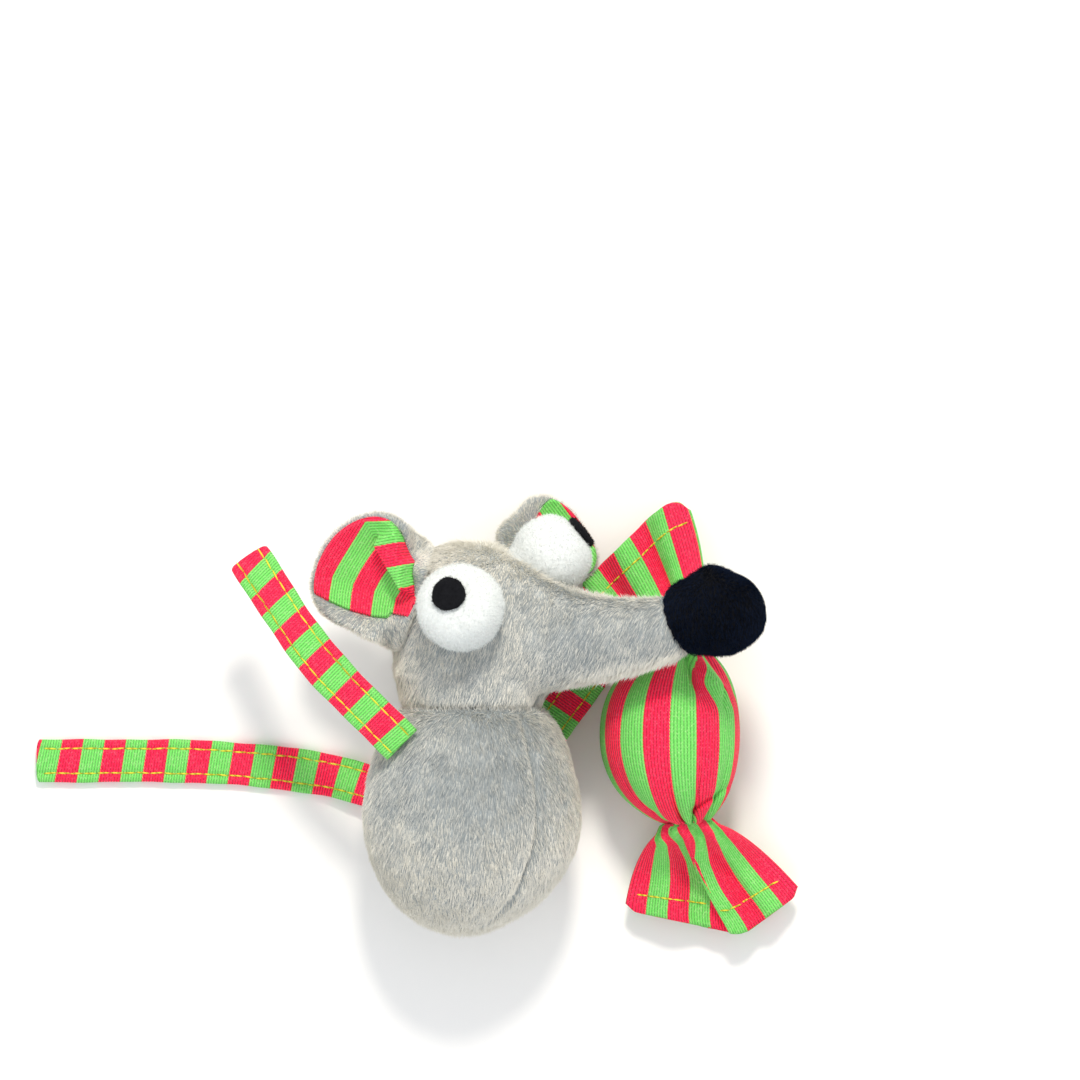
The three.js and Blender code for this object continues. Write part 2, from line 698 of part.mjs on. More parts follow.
['right', 'left'].forEach((side) => {
  const ear = bodyGroup();
  const pieces = earPieces(side);
  place(ear, { [`${side}_ear_back`]: pieces[`${side}_ear_back`] }, 'plush');
  place(ear, { [`${side}_ear_lining`]: pieces[`${side}_ear_lining`] }, 'cotton');
});

place(bodyGroup(), { right_arm_strip: strip(rightArmPath, stripRootUp(rightArmHeight, frontRight), 8) }, 'cotton');
place(bodyGroup(), { left_arm_strip: strip(leftArmPath, stripRootUp(leftArmHeight, backLeft), 8) }, 'cotton');
place(bodyGroup(), { tail_strip: strip(tailPath, stripRootUp(tailHeight, backRight), 12) }, 'cotton');

const candy = bodyGroup();
place(candy, { candy_wrapper: candyWrapper }, 'cotton');
place(candy, { candy_stuffing: candyFill }, 'fibre');
place(
  candy,
  { candy_upper_tie: tieSolid(upperTie, upperTieAxis), candy_lower_tie: tieSolid(lowerTie, lowerTieAxis) },
  'thread',
);

export default mouse;
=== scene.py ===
"""Looks of a stuffed catnip mouse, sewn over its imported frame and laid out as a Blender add-on."""
import math
from contextlib import contextmanager

import bmesh
import bpy
import numpy as np
from bpy.props import FloatProperty, FloatVectorProperty, IntProperty, PointerProperty
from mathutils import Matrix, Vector, noise


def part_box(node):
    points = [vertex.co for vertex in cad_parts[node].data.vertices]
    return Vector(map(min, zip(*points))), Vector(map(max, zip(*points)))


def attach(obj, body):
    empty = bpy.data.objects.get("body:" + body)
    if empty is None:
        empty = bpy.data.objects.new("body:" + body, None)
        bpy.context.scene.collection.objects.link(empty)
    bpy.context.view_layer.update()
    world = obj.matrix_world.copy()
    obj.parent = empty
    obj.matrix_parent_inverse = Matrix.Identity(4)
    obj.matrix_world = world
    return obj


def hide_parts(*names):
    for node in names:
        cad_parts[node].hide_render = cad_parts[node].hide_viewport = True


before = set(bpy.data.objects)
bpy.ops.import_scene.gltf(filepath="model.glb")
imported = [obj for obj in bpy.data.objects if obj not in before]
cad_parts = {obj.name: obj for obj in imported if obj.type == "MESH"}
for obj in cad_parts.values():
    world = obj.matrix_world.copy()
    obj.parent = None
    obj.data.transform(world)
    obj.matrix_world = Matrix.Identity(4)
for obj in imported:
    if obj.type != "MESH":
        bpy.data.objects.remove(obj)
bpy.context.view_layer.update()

bl_info = {
    "name": "Catnip mouse",
    "version": (1, 0, 0),
    "blender": (4, 5, 0),
    "location": "3D View > Sidebar > Mouse",
    "description": "Sews the plush, felt and striped cotton of a stuffed mouse over its packed frame",
    "category": "Object",
}

MM = 0.001
UP = np.array((0, 0, 1.0))

# Sizes of the frame in millimetres, as its solids have them
BODY_RADIUS = 19.7
BODY_LOWER = 20.9
BODY_UPPER = 27.0
BODY_LEAN = -1.7
AXIS_Z = 19.2
NECK_Y = 19.2
NECK_ROLL = 1.2
SEAM_ANGLES = (-43.0, 38.0, 137.0, 218.0, 317.0)
SEAM_SHOWS = (0.15, 1.0, 1.0, 1.0, 0.15)
GORES = ("front", "left", "back", "right")
HEAD_RADIUS = 14.8
HEAD_CENTRE = np.array((-0.4, 35.3, 19.2))
SNOUT_TIP = np.array((37.6, 35.0, 31.0))
NOSE_AXIS = np.array((0.88, 0.36, 0.3)) / np.linalg.norm((0.88, 0.36, 0.3))
SNOUT_LEAVE = np.array((11.4, -3.3, 4.2))
SNOUT_ARRIVE = 11.8
SNOUT_STATIONS = (0.0, 0.22, 0.46, 0.74, 1.0)
SNOUT_RADII = (14.8, 13.3, 9.3, 7.2, 5.7)
NOSE_RADIUS = 8.1
NOSE_LENGTH = 16.6
NOSE_HALF = 9.1
EYE_HEIGHT = 11.5
PUPIL_RADIUS = 3.1
PUPIL_THICKNESS = 0.9
EYES = {
    "right": ((-0.05, 0.09, 0.99), (-0.19, 0.24, 0.95)),
    "left": ((0.78, 0.62, 0.0), (0.78, 0.62, 0.0)),
}
EYE_SIZES = {"right": 1.0, "left": 0.92}
PUPIL_WAYS = {"right": (-0.25, 0.3, 0.92), "left": (0.78, 0.62, 0.0)}
EAR_RADIUS = 10.4
EAR_MIDDLE = 9.2
EAR_BASE_CURVE = 0.02
EAR_CUP = 3.6
EAR_PINCH = 0.16
EARS = {
    "right": ((-0.6, 0.29, 0.75), (-0.85, 0.3, -0.38), (-0.35, 0.05, 0.93)),
    "left": ((0.65, 0.41, -0.58), (0.3, 0.88, -0.34), (0.25, 0.0, 0.97)),
}
STRIP_WIDTH = 7.8
STRIP_THICKNESS = 1.6
GAP = 0.3
CANDY_RADIUS = 12.8
CANDY_BULGE = 2.9
CANDY_X = 38.9
CANDY_Z = 13.0
UPPER_TIE = np.array((CANDY_X, 30.0, CANDY_Z))
LOWER_TIE = np.array((CANDY_X, -1.3, CANDY_Z))
FRILL_FLARE = 0.52
FRILL_SLOPE = 0.6

# Seeds of the random draws, of which a piece's own number is added where several are alike
GORE_SEED = 11
HEAD_SEED = 21
NOSE_SEED = 31
EYE_SEED = 41
PUPIL_SEED = 51
EAR_SEED = 61


def linear(code):
    """Linear colour with alpha from an sRGB hex code."""
    parts = [int(code[i:i + 2], 16) / 255 for i in (0, 2, 4)]
    return [p / 12.92 if p <= 0.04045 else ((p + 0.055) / 1.055) ** 2.4 for p in parts] + [1.0]


def number_prop(label, about, default, low, high, **kind):
    return FloatProperty(name=label, description=about, default=default, min=low, max=high, **kind)


def length_prop(label, about, default, low, high):
    return number_prop(label, about, default, low, high, unit="LENGTH")


def colour_prop(label, about, code):
    return FloatVectorProperty(
        name=label, description=about, default=linear(code), size=4, min=0, max=1, subtype="COLOR")


class MousePlush(bpy.types.PropertyGroup):
    """Plush of the body, head and ears, and of the nose."""
    pile_length: length_prop("Pile length", "Length of a plush fibre", 0.0013, 0.0003, 0.006)
    pile_radius: length_prop("Fibre radius", "Root radius of a plush fibre", 0.000065, 0.00002, 0.0003)
    pile_density: number_prop("Pile density", "Fibres for each square millimetre", 24.0, 1, 40)
    pile_rise: number_prop("Pile rise", "How steeply the fibres stand", 0.26, 0, 1, subtype="FACTOR")
    clump: length_prop("Clump size", "Width of a tuft that leans one way", 0.0032, 0.0005, 0.02)
    backing: length_prop("Backing", "Thickness of the plush's knitted backing", 0.0012, 0.0005, 0.003)
    seam_depth: length_prop("Seam depth", "How far a seam draws the plush in", 0.0008, 0.0, 0.002)
    light: colour_prop("Light fibre", "Palest fibres of the grey plush", "EAE7DC")
    middle: colour_prop("Grey fibre", "Usual fibres of the grey plush", "AAB0B0")
    dark: colour_prop("Dark fibre", "Darkest fibres of the grey plush", "8B9498")
    nose: colour_prop("Nose", "Dark plush of the nose", "010206")
    nose_light: colour_prop("Nose sheen", "Palest fibres of the nose", "111A2C")


class MouseFelt(bpy.types.PropertyGroup):
    """Felt of the eyes and pupils."""
    fuzz_length: length_prop("Fuzz length", "Length of a loose felt fibre", 0.00055, 0.0001, 0.002)
    fuzz_density: number_prop("Fuzz density", "Loose fibres for each square millimetre", 16.0, 0, 40)
    white: colour_prop("White felt", "Felt of the eyes", "E3E7E5")
    black: colour_prop("Black felt", "Felt of the pupils", "0C0D12")


class MouseCotton(bpy.types.PropertyGroup):
    """Striped knitted cotton of the ears, arms, tail and sweet, and its topstitching."""
    band: length_prop("Band width", "Width of one stripe on the strips", 0.00393, 0.001, 0.02)
    rib: length_prop("Rib pitch", "Distance between two ribs of the knit", 0.0005, 0.0002, 0.002)
    thickness: length_prop("Cotton thickness", "Thickness of one layer", 0.0005, 0.0002, 0.002)
    stitch: length_prop("Stitch length", "Length of one topstitch", 0.0024, 0.0005, 0.006)
    thread: length_prop("Thread radius", "Radius of the sewing thread", 0.00017, 0.00005, 0.0005)
    margin: length_prop("Stitch margin", "Stitches' distance from a strip's edge", 0.00164, 0.0005, 0.003)
    gathers: IntProperty(
        name="Gathers", description="Gathers round each neck of the sweet", default=9, min=3, max=24)
    pink: colour_prop("Pink stripe", "Red stripe of the cotton", "FF1F4C")
    green: colour_prop("Green stripe", "Green stripe of the cotton", "6FD05F")
    yarn: colour_prop("Pale yarn", "Pale flecks in the green bands", "D6F2B4")
    pink_yarn: colour_prop("Pale pink yarn", "Pale flecks in the pink bands", "FF7C92")
    yellow: colour_prop("Thread", "Yellow sewing thread", "DDD23A")


class MouseStage(bpy.types.PropertyGroup):
    """Floor, light and camera."""
    floor: colour_prop("Floor", "Pale floor", "F6F6F4")
    view_width: length_prop("View width", "Width of the picture at the toy", 0.1964, 0.05, 1.0)
    distance: length_prop("Camera height", "Height of the camera over the floor", 4.0, 0.3, 5.0)
    key: number_prop("Key light", "Power of the main light", 7.6, 0, 100, unit="POWER")
    fill: number_prop("Fill light", "Power of the side light", 1.9, 0, 100, unit="POWER")
    sky: number_prop("Surroundings", "Brightness of the white room", 0.86, 0, 2)


# Small geometry helpers, in millimetres
def unit(v):
    v = np.asarray(v, float)
    return v / np.maximum(np.linalg.norm(v, axis=-1, keepdims=True), 1e-9)


def ease(x, low, high):
    t = np.clip((np.asarray(x, float) - low) / (high - low), 0, 1)
    return t * t * (3 - 2 * t)


def bump(x, width):
    return np.exp(-(np.asarray(x, float) / width) ** 2)


def left_of(way):
    """Direction a quarter turn to the left of one in the plane."""
    return np.array((-way[1], way[0]))


def round_turn(count, start=0.0):
    """Angles once round, from a start."""
    return np.linspace(start, start + 2 * np.pi, count, endpoint=False)


def circle(turn, across, up):
    """Ways out at each turn round a circle."""
    return np.cos(turn)[..., None] * across + np.sin(turn)[..., None] * up


def pushed(points, ways, amount):
    """Points moved along directions, each by its amount."""
    return points + ways * amount[..., None]


def lumps(points, size, seed):
    """Smooth noise from -1 to 1 at each point, with lumps of one size."""
    shift = Vector((seed * 7.31, seed * 3.17, seed * 5.77))
    values = [noise.noise(Vector(p) / size + shift) for p in points.reshape(-1, 3)]
    return np.array(values).reshape(points.shape[:-1])


def hermite(t, start, leave, end, arrive):
    """Cubic from one value to another with given slopes."""
    return ((2 * t**3 - 3 * t**2 + 1) * start + (t**3 - 2 * t**2 + t) * leave
            + (3 * t**2 - 2 * t**3) * end + (t**3 - t**2) * arrive)


def catmull(points, count):
    """Points along a centripetal spline through the given ones, spaced evenly, and its length."""
    p = [np.asarray(q, float) for q in points]
    p = [2 * p[0] - p[1], *p, 2 * p[-1] - p[-2]]
    way = []
    for a, b, c, d in zip(p, p[1:], p[2:], p[3:]):
        ab, bc, cd = (np.sqrt(np.linalg.norm(v)) for v in (b - a, c - b, d - c))
        leave = ((b - a) / ab - (c - a) / (ab + bc) + (c - b) / bc) * bc
        arrive = ((c - b) / bc - (d - b) / (bc + cd) + (d - c) / cd) * bc
        way.append(hermite(np.linspace(0, 1, 60)[:, None], b, leave, c, arrive))
    way = np.concatenate(way)
    far = np.concatenate(([0], np.cumsum(np.linalg.norm(np.diff(way, axis=0), axis=1))))
    even = np.linspace(0, far[-1], count)
    return np.stack([np.interp(even, far, way[:, k]) for k in range(3)], 1), far[-1]


def grid_faces(rows, columns, wrap=False):
    """Quads over points kept row by row, with each corner's row and column; wrap joins the ends of a row."""
    faces = []
    places = []
    for i in range(rows - 1):
        for j in range(columns if wrap else columns - 1):
            corners = ((i, j), (i, j + 1), (i + 1, j + 1), (i + 1, j))
            faces.append([r * columns + c % columns for r, c in corners])
            places.extend(corners)
    return faces, np.array(places)


def tube_faces(rows, columns):
    """Faces of a tube of rings, and of the fans that close it on two points after the rings."""
    faces, _ = grid_faces(rows, columns, wrap=True)
    last = rows * columns
    for j in range(columns):
        faces.append([(j + 1) % columns, j, last])
        faces.append([last - columns + j, last - columns + (j + 1) % columns, last + 1])
    return faces


def capped_tube(rings):
    """Points and faces of a closed tube through rings of equal count."""
    points = np.concatenate((rings.reshape(-1, 3), rings[0].mean(0)[None], rings[-1].mean(0)[None]))
    return points, tube_faces(*rings.shape[:2])


# Meshes
def link_object(name, data):
    obj = bpy.data.objects.new(name, data)
    bpy.context.scene.collection.objects.link(obj)
    return obj


def add_object(name, points, faces, material=None, uv=None):
    """Smooth object from points in millimetres, with a material by its name and a UV map in stripe widths."""
    mesh = bpy.data.meshes.new(name)
    mesh.from_pydata((np.asarray(points) * MM).tolist(), [], faces)
    if uv is not None:
        mesh.uv_layers.new(name="cloth").uv.foreach_set("vector", np.asarray(uv, np.float32).ravel())
    mesh.shade_smooth()
    if material:
        mesh.materials.append(material_named(material))
    return link_object(name, mesh)


@contextmanager
def edited(mesh, into=None):
    """Opens a mesh for editing, and writes what it becomes back or into another mesh."""
    bm = bmesh.new()
    bm.from_mesh(mesh)
    yield bm
    bm.to_mesh(mesh if into is None else into)
    bm.free()


def face_out(obj):
    """Merges doubled points and turns the faces of a closed mesh outwards."""
    with edited(obj.data) as bm:
        bmesh.ops.remove_doubles(bm, verts=bm.verts, dist=1e-6)
        bmesh.ops.recalc_face_normals(bm, faces=bm.faces)
    obj.data.shade_smooth()
    return obj


def add_closed(name, rings, material=None):
    """Closed smooth object through rings."""
    return face_out(add_object(name, *capped_tube(rings), material))


def keep_shape(obj):
    """Makes what the modifiers show the object's own mesh, and removes them."""
    deps = bpy.context.evaluated_depsgraph_get()
    shown = bpy.data.meshes.new_from_object(
        obj.evaluated_get(deps), preserve_all_data_layers=True, depsgraph=deps)
    old = obj.data
    obj.modifiers.clear()
    obj.data = shown
    shown.name = obj.name
    bpy.data.meshes.remove(old)
    return obj


def add_modifier(obj, name, kind, **settings):
    modifier = obj.modifiers.new(name, kind)
    for key, value in settings.items():
        setattr(modifier, key, value)
    return modifier


def points_of(mesh, field="co"):
    source = mesh.vertices if field == "co" else mesh.vertex_normals
    out = np.zeros(len(mesh.vertices) * 3, np.float32)
    source.foreach_get("co" if field == "co" else "vector", out)
    return out.reshape(-1, 3).astype(float)


def move_points(mesh, points):
    mesh.vertices.foreach_set("co", np.asarray(points, np.float32).ravel())
    mesh.update()


def set_attribute(mesh, name, kind, values):
    layer = mesh.attributes.get(name) or mesh.attributes.new(name, kind, "POINT")
    field = "vector" if kind == "FLOAT_VECTOR" else "value"
    layer.data.foreach_set(field, np.asarray(values, np.float32).ravel())


def face_along(obj, ways, part=slice(None)):
    """Turns the faces of an open skin so that its points, or some of them, look along given ways."""
    if np.sum(points_of(obj.data, "normal")[part] * ways) < 0:
        obj.data.flip_normals()


def remeshed(obj, voxel, rounds):
    """Joins and evens a mesh with voxels of a size in millimetres, and smooths it."""
    add_modifier(obj, "even", "REMESH", mode="VOXEL", voxel_size=voxel * MM, use_smooth_shade=True)
    add_modifier(obj, "eased", "SMOOTH", factor=0.5, iterations=rounds)
    return keep_shape(obj)


def thicken(obj, thickness):
    """Gives an open skin its thickness inwards, which closes it."""
    add_modifier(obj, "wall", "SOLIDIFY", thickness=thickness, offset=-1)
    return keep_shape(obj)


def settle(obj, body, slot, *nodes):
    """Makes a finished piece ride on its body, and stand for the frame's nodes."""
    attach(obj, body)
    if nodes:
        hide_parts(*nodes)
    return obj


# Cloth that is blown up at a large scale, where the solver is steady, for some frames
PUFF_SCALE = 20.0
PUFF_FRAMES = 20
PUFF_CLOTH = {
    "quality": 5, "mass": 0.3, "tension_stiffness": 12, "compression_stiffness": 12, "shear_stiffness": 6,
    "bending_stiffness": 1.5, "use_pressure": True, "uniform_pressure_force": 4, "vertex_group_mass": "held",
}


def puff(obj, held, cap):
    """Swells a closed skin by cloth pressure, with no point moving past a cap."""
    start = points_of(obj.data)
    move_points(obj.data, start * PUFF_SCALE)
    group = obj.vertex_groups.new(name="held")
    group.add([int(i) for i in np.flatnonzero(held)], 1.0, "REPLACE")
    cloth = obj.modifiers.new("puff", "CLOTH")
    for key, value in PUFF_CLOTH.items():
        setattr(cloth.settings, key, value)
    cloth.settings.effector_weights.gravity = 0
    cloth.collision_settings.use_collision = False
    cloth.point_cache.frame_start = 1
    cloth.point_cache.frame_end = PUFF_FRAMES
    scene = bpy.context.scene
    for step in range(1, PUFF_FRAMES + 1):
        scene.frame_set(step)
    shown = obj.evaluated_get(bpy.context.evaluated_depsgraph_get())
    moved = points_of(shown.data) / PUFF_SCALE - start
    obj.modifiers.clear()
    obj.vertex_groups.clear()
    scene.frame_set(1)
    far = np.maximum(np.linalg.norm(moved, axis=1, keepdims=True), 1e-9)
    move_points(obj.data, start + moved * np.minimum(1, cap / far))


# Node trees
def feed(tree, socket, value):
    """Links an input to a node's first output or to a socket, or sets it to a constant."""
    if isinstance(value, bpy.types.Node):
        value = value.outputs[0]
    if isinstance(value, bpy.types.NodeSocket):
        tree.links.new(value, socket)
    else:
        socket.default_value = value


def add_node(tree, kind, inputs=None, **settings):
    """Adds a node with its settings and its inputs."""
    node = tree.nodes.new(kind)
    for key, value in settings.items():
        setattr(node, key, value)
    for key, value in (inputs or {}).items():
        feed(tree, node.inputs[key], value)
    return node


def maths(tree, operation, *values):
    return add_node(tree, "ShaderNodeMath", dict(enumerate(values)), operation=operation)


def vectors(tree, operation, first, second):
    other = "Scale" if operation == "SCALE" else 1
    return add_node(tree, "ShaderNodeVectorMath", {0: first, other: second}, operation=operation)


def new_tree(name, **sockets):
    """Geometry node tree with a geometry in and out, and named inputs of given kinds."""
    tree = bpy.data.node_groups.new(name, "GeometryNodeTree")
    for label, kind in {"Geometry": "Geometry", **sockets}.items():
        tree.interface.new_socket(label, in_out="INPUT", socket_type=f"NodeSocket{kind}")
    tree.interface.new_socket("Geometry", in_out="OUTPUT", socket_type="NodeSocketGeometry")
    return tree, add_node(tree, "NodeGroupInput").outputs


def end_tree(tree, instances, material, smooth=False):
    """Ends a tree with plain geometry of one material."""
    real = add_node(tree, "GeometryNodeRealizeInstances", {"Geometry": instances})
    if smooth:
        real = add_node(tree, "GeometryNodeSetShadeSmooth", {"Geometry": real})
    done = add_node(tree, "GeometryNodeSetMaterial", {"Geometry": real, "Material": material})
    add_node(tree, "NodeGroupOutput", {"Geometry": done})
    return tree


def grow(name, base, tree, inputs):
    """Runs a node tree on a base object, and turns what it makes into a plain mesh that replaces the base."""
    sew = add_modifier(base, "sew", "NODES", node_group=tree)
    for item in tree.interface.items_tree:
        if item.in_out == "INPUT" and item.name in inputs:
            sew[item.identifier] = inputs[item.name]
    base.name = name
    return keep_shape(base)


def pile_tree():
    """Fibres over a skin: each leans along the skin's nap, in tufts, and keeps a shade of its own, to which
    painted light and shade are added.
    """
    tree, given = new_tree(
        "pile", Density="Float", Length="Float", Radius="Float", Rise="Float", Clump="Float", Stray="Float",
        Seed="Int", Material="Material")

    def named(name, kind="FLOAT"):
        return add_node(tree, "GeometryNodeInputNamedAttribute", {"Name": name}, data_type=kind)

    def chance(low, high):
        inputs = {2: low, 3: high, "Seed": given["Seed"]}
        return add_node(tree, "FunctionNodeRandomValue", inputs, data_type="FLOAT").outputs[1]

    spread = add_node(tree, "GeometryNodeDistributePointsOnFaces", {
        "Mesh": given["Geometry"], "Density": maths(tree, "MULTIPLY", given["Density"], named("cover")),
        "Seed": given["Seed"]}, distribute_method="RANDOM").outputs
    tuft = add_node(tree, "ShaderNodeTexNoise", {
        "Vector": add_node(tree, "GeometryNodeInputPosition"),
        "Scale": maths(tree, "DIVIDE", 1.0, given["Clump"]), "Detail": 1.0}).outputs
    lean = vectors(tree, "SCALE", vectors(tree, "SUBTRACT", tuft["Color"], (0.5, 0.5, 0.5)), given["Stray"])
    apart = add_node(tree, "FunctionNodeRandomValue", {
        0: (-0.2, -0.2, -0.2), 1: (0.2, 0.2, 0.2), "Seed": given["Seed"]}, data_type="FLOAT_VECTOR")
    up = vectors(tree, "SCALE", spread["Normal"], given["Rise"])
    way = vectors(tree, "ADD", named("nap", "FLOAT_VECTOR"), up)
    way = vectors(tree, "ADD", vectors(tree, "ADD", way, lean), apart)
    turn = add_node(tree, "FunctionNodeAlignRotationToVector", {"Vector": way}, axis="Z")
    fibre = add_node(tree, "GeometryNodeMeshCone", {
        "Vertices": 3, "Radius Top": 0.0, "Radius Bottom": given["Radius"], "Depth": given["Length"]})
    # Painted rim light: fibres are paler where their skin faces sideways, and the skin's painted shading is
    # added to each fibre's own shade.
    facing = add_node(tree, "ShaderNodeSeparateXYZ", {0: spread["Normal"]}).outputs["Z"]
    own_and_painted_shading = maths(tree, "ADD", chance(0.5, 1.16), named("painted_shading"))
    paler = maths(tree, "MULTIPLY_ADD", facing, -0.4, own_and_painted_shading)
    shade = maths(tree, "MULTIPLY_ADD", tuft[0], 0.3, paler)
    marked = add_node(tree, "GeometryNodeStoreNamedAttribute", {
        "Geometry": spread["Points"], "Name": "shade", "Value": shade}, data_type="FLOAT", domain="POINT")
    size = maths(tree, "MULTIPLY", chance(0.55, 1.2), named("long"))
    fibres = add_node(tree, "GeometryNodeInstanceOnPoints", {
        "Points": marked, "Instance": fibre, "Rotation": turn, "Scale": size})
    return end_tree(tree, fibres, given["Material"])


def stitch_tree():
    """Topstitches along lines: one rounded bit of thread to each stitch."""
    tree, given = new_tree("stitches", Stitch="Float", Thread="Float", Material="Material")
    line = add_node(tree, "GeometryNodeMeshToCurve", {"Mesh": given["Geometry"]})
    even = add_node(tree, "GeometryNodeResampleCurve", {
        "Curve": line, "Length": given["Stitch"]}, mode="LENGTH")
    slant = add_node(tree, "FunctionNodeRandomValue", {
        0: (-0.09, -0.09, -0.02), 1: (0.09, 0.09, 0.06), "Seed": 3}, data_type="FLOAT_VECTOR")
    way = vectors(tree, "ADD", add_node(tree, "GeometryNodeInputTangent"), slant)
    turn = add_node(tree, "FunctionNodeAlignRotationToVector", {"Vector": way}, axis="X")
    bead = add_node(tree, "GeometryNodeMeshUVSphere", {"Segments": 7, "Rings": 6, "Radius": 1.0})
    half = maths(tree, "MULTIPLY", given["Stitch"], 0.54)
    size = add_node(tree, "ShaderNodeCombineXYZ", {"X": half, "Y": given["Thread"], "Z": given["Thread"]})
    bit = add_node(tree, "GeometryNodeTransform", {"Geometry": bead, "Scale": size})
    sewn = add_node(tree, "GeometryNodeInstanceOnPoints", {"Points": even, "Instance": bit, "Rotation": turn})
    return end_tree(tree, sewn, given["Material"], smooth=True)


def tree_named(name, make):
    return bpy.data.node_groups.get(name) or make()


def add_pile(name, skin, nap, body, slot, material, seed, cover=1.0, painted_shading=0.0, long=1.0, **changes):
    """Grows fibres on a copy of a skin.

    Nap is the way they lie, cover thins them, the painted shading paints light and shade into their colour,
    and long stretches them."""
    plush = bpy.context.scene.mouse_plush
    base = link_object(name, skin.data.copy())
    normals = points_of(base.data, "normal")
    nap = np.broadcast_to(np.asarray(nap, float), normals.shape)
    set_attribute(base.data, "nap", "FLOAT_VECTOR", nap - normals * (nap * normals).sum(1, keepdims=True))
    spares = {"cover": cover, "painted_shading": painted_shading, "long": long}
    for spare, value in spares.items():
        set_attribute(base.data, spare, "FLOAT", np.broadcast_to(value, len(normals)))
    inputs = {"Density": plush.pile_density * 1e6, "Length": plush.pile_length, "Radius": plush.pile_radius,
              "Rise": plush.pile_rise, "Clump": plush.clump, "Stray": 0.8, "Seed": seed,
              "Material": material_named(material), **changes}
    pile = grow(name, base, tree_named("pile", pile_tree), inputs)
    for spare in ("nap", *spares):
        if spare in pile.data.attributes:
            pile.data.attributes.remove(pile.data.attributes[spare])
    return settle(pile, body, slot)


def add_stitches(name, lines, body):
    """Sews topstitching along lines of points in millimetres."""
    cotton = bpy.context.scene.mouse_cotton
    edges = []
    first = 0
    for line in lines:
        edges.extend((first + k, first + k + 1) for k in range(len(line) - 1))
        first += len(line)
    mesh = bpy.data.meshes.new(name)
    mesh.from_pydata((np.concatenate(lines) * MM).tolist(), edges, [])
    inputs = {"Stitch": cotton.stitch, "Thread": cotton.thread, "Material": material_named("sewing thread")}
    sewn = grow(name, link_object(name, mesh), tree_named("stitches", stitch_tree), inputs)
    return settle(sewn, body, "thread")


# Materials
def new_material(name, roughness, sheen=0.0, tint=None, shine=0.25):
    """Material with one shader, with its tree and object coordinates."""
    material = bpy.data.materials.new(name)
    material.use_nodes = True
    tree = material.node_tree
    looks = {
        "Roughness": roughness, "Specular IOR Level": shine, "Sheen Weight": sheen, "Sheen Roughness": 0.45}
    if tint:
        looks["Sheen Tint"] = tint
    for label, value in looks.items():
        tree.nodes["Principled BSDF"].inputs[label].default_value = value
    return material, tree, add_node(tree, "ShaderNodeTexCoord").outputs["Object"]


def grain(tree, coords, size, **more):
    """Noise with grains of a size in millimetres."""
    return add_node(tree, "ShaderNodeTexNoise", {"Vector": coords, "Scale": 1 / (size * MM), **more})


def ramp(tree, source, *stops):
    """Colours from a value, through stops that each have a place and a colour."""
    node = add_node(tree, "ShaderNodeValToRGB", {0: source})
    elements = node.color_ramp.elements
    for element, (place, colour) in zip(elements, (stops[0], stops[-1])):
        element.position = place
        element.color = colour
    for place, colour in stops[1:-1]:
        elements.new(place).color = colour
    return node


def dress(tree, colour, height=None, strength=0.0, depth=0.0):
    """Gives the shader its colour and, from a height, relief of a depth in millimetres."""
    shader = tree.nodes["Principled BSDF"].inputs
    feed(tree, shader["Base Color"], colour)
    if height is not None:
        inputs = {"Height": height, "Strength": strength, "Distance": depth * MM}
        feed(tree, shader["Normal"], add_node(tree, "ShaderNodeBump", inputs))


def pile_material(name, dark, middle, light, sheen, shine):
    """Acrylic pile: each fibre has a shade of its own, with painted light and shade in it, tufts lean pale or
    dark, and the tips catch light.
    """
    material, tree, coords = new_material(name, 0.7, sheen, light, shine)
    shade = add_node(tree, "ShaderNodeAttribute", attribute_name="shade").outputs["Fac"]
    patched = maths(tree, "MULTIPLY_ADD", grain(tree, coords, 14, Detail=2.0), 0.1, shade)
    dress(tree, ramp(tree, patched, (0.3, dark), (0.58, middle), (1.0, light)))
    return material


def backing_material(name, low, high):
    """Knitted plush backing: a dull cloth seen only between the fibres."""
    material, tree, coords = new_material(name, 0.95)
    speck = grain(tree, coords, 1.2, Detail=3.0)
    dress(tree, ramp(tree, speck, (0.0, low), (1.0, high)), speck, 0.5, 0.2)
    return material


def felt_material(name, colour, shadow):
    """Pressed wool felt: matt, with matted fibres that leave small hollows and hairs."""
    material, tree, coords = new_material(name, 0.95, 0.25, colour)
    matted = grain(tree, coords, 0.9, Detail=5.0, Roughness=0.65, Distortion=1.4)
    dress(tree, ramp(tree, matted, (0.22, shadow), (0.5, colour)), matted, 0.55, 0.22)
    return material


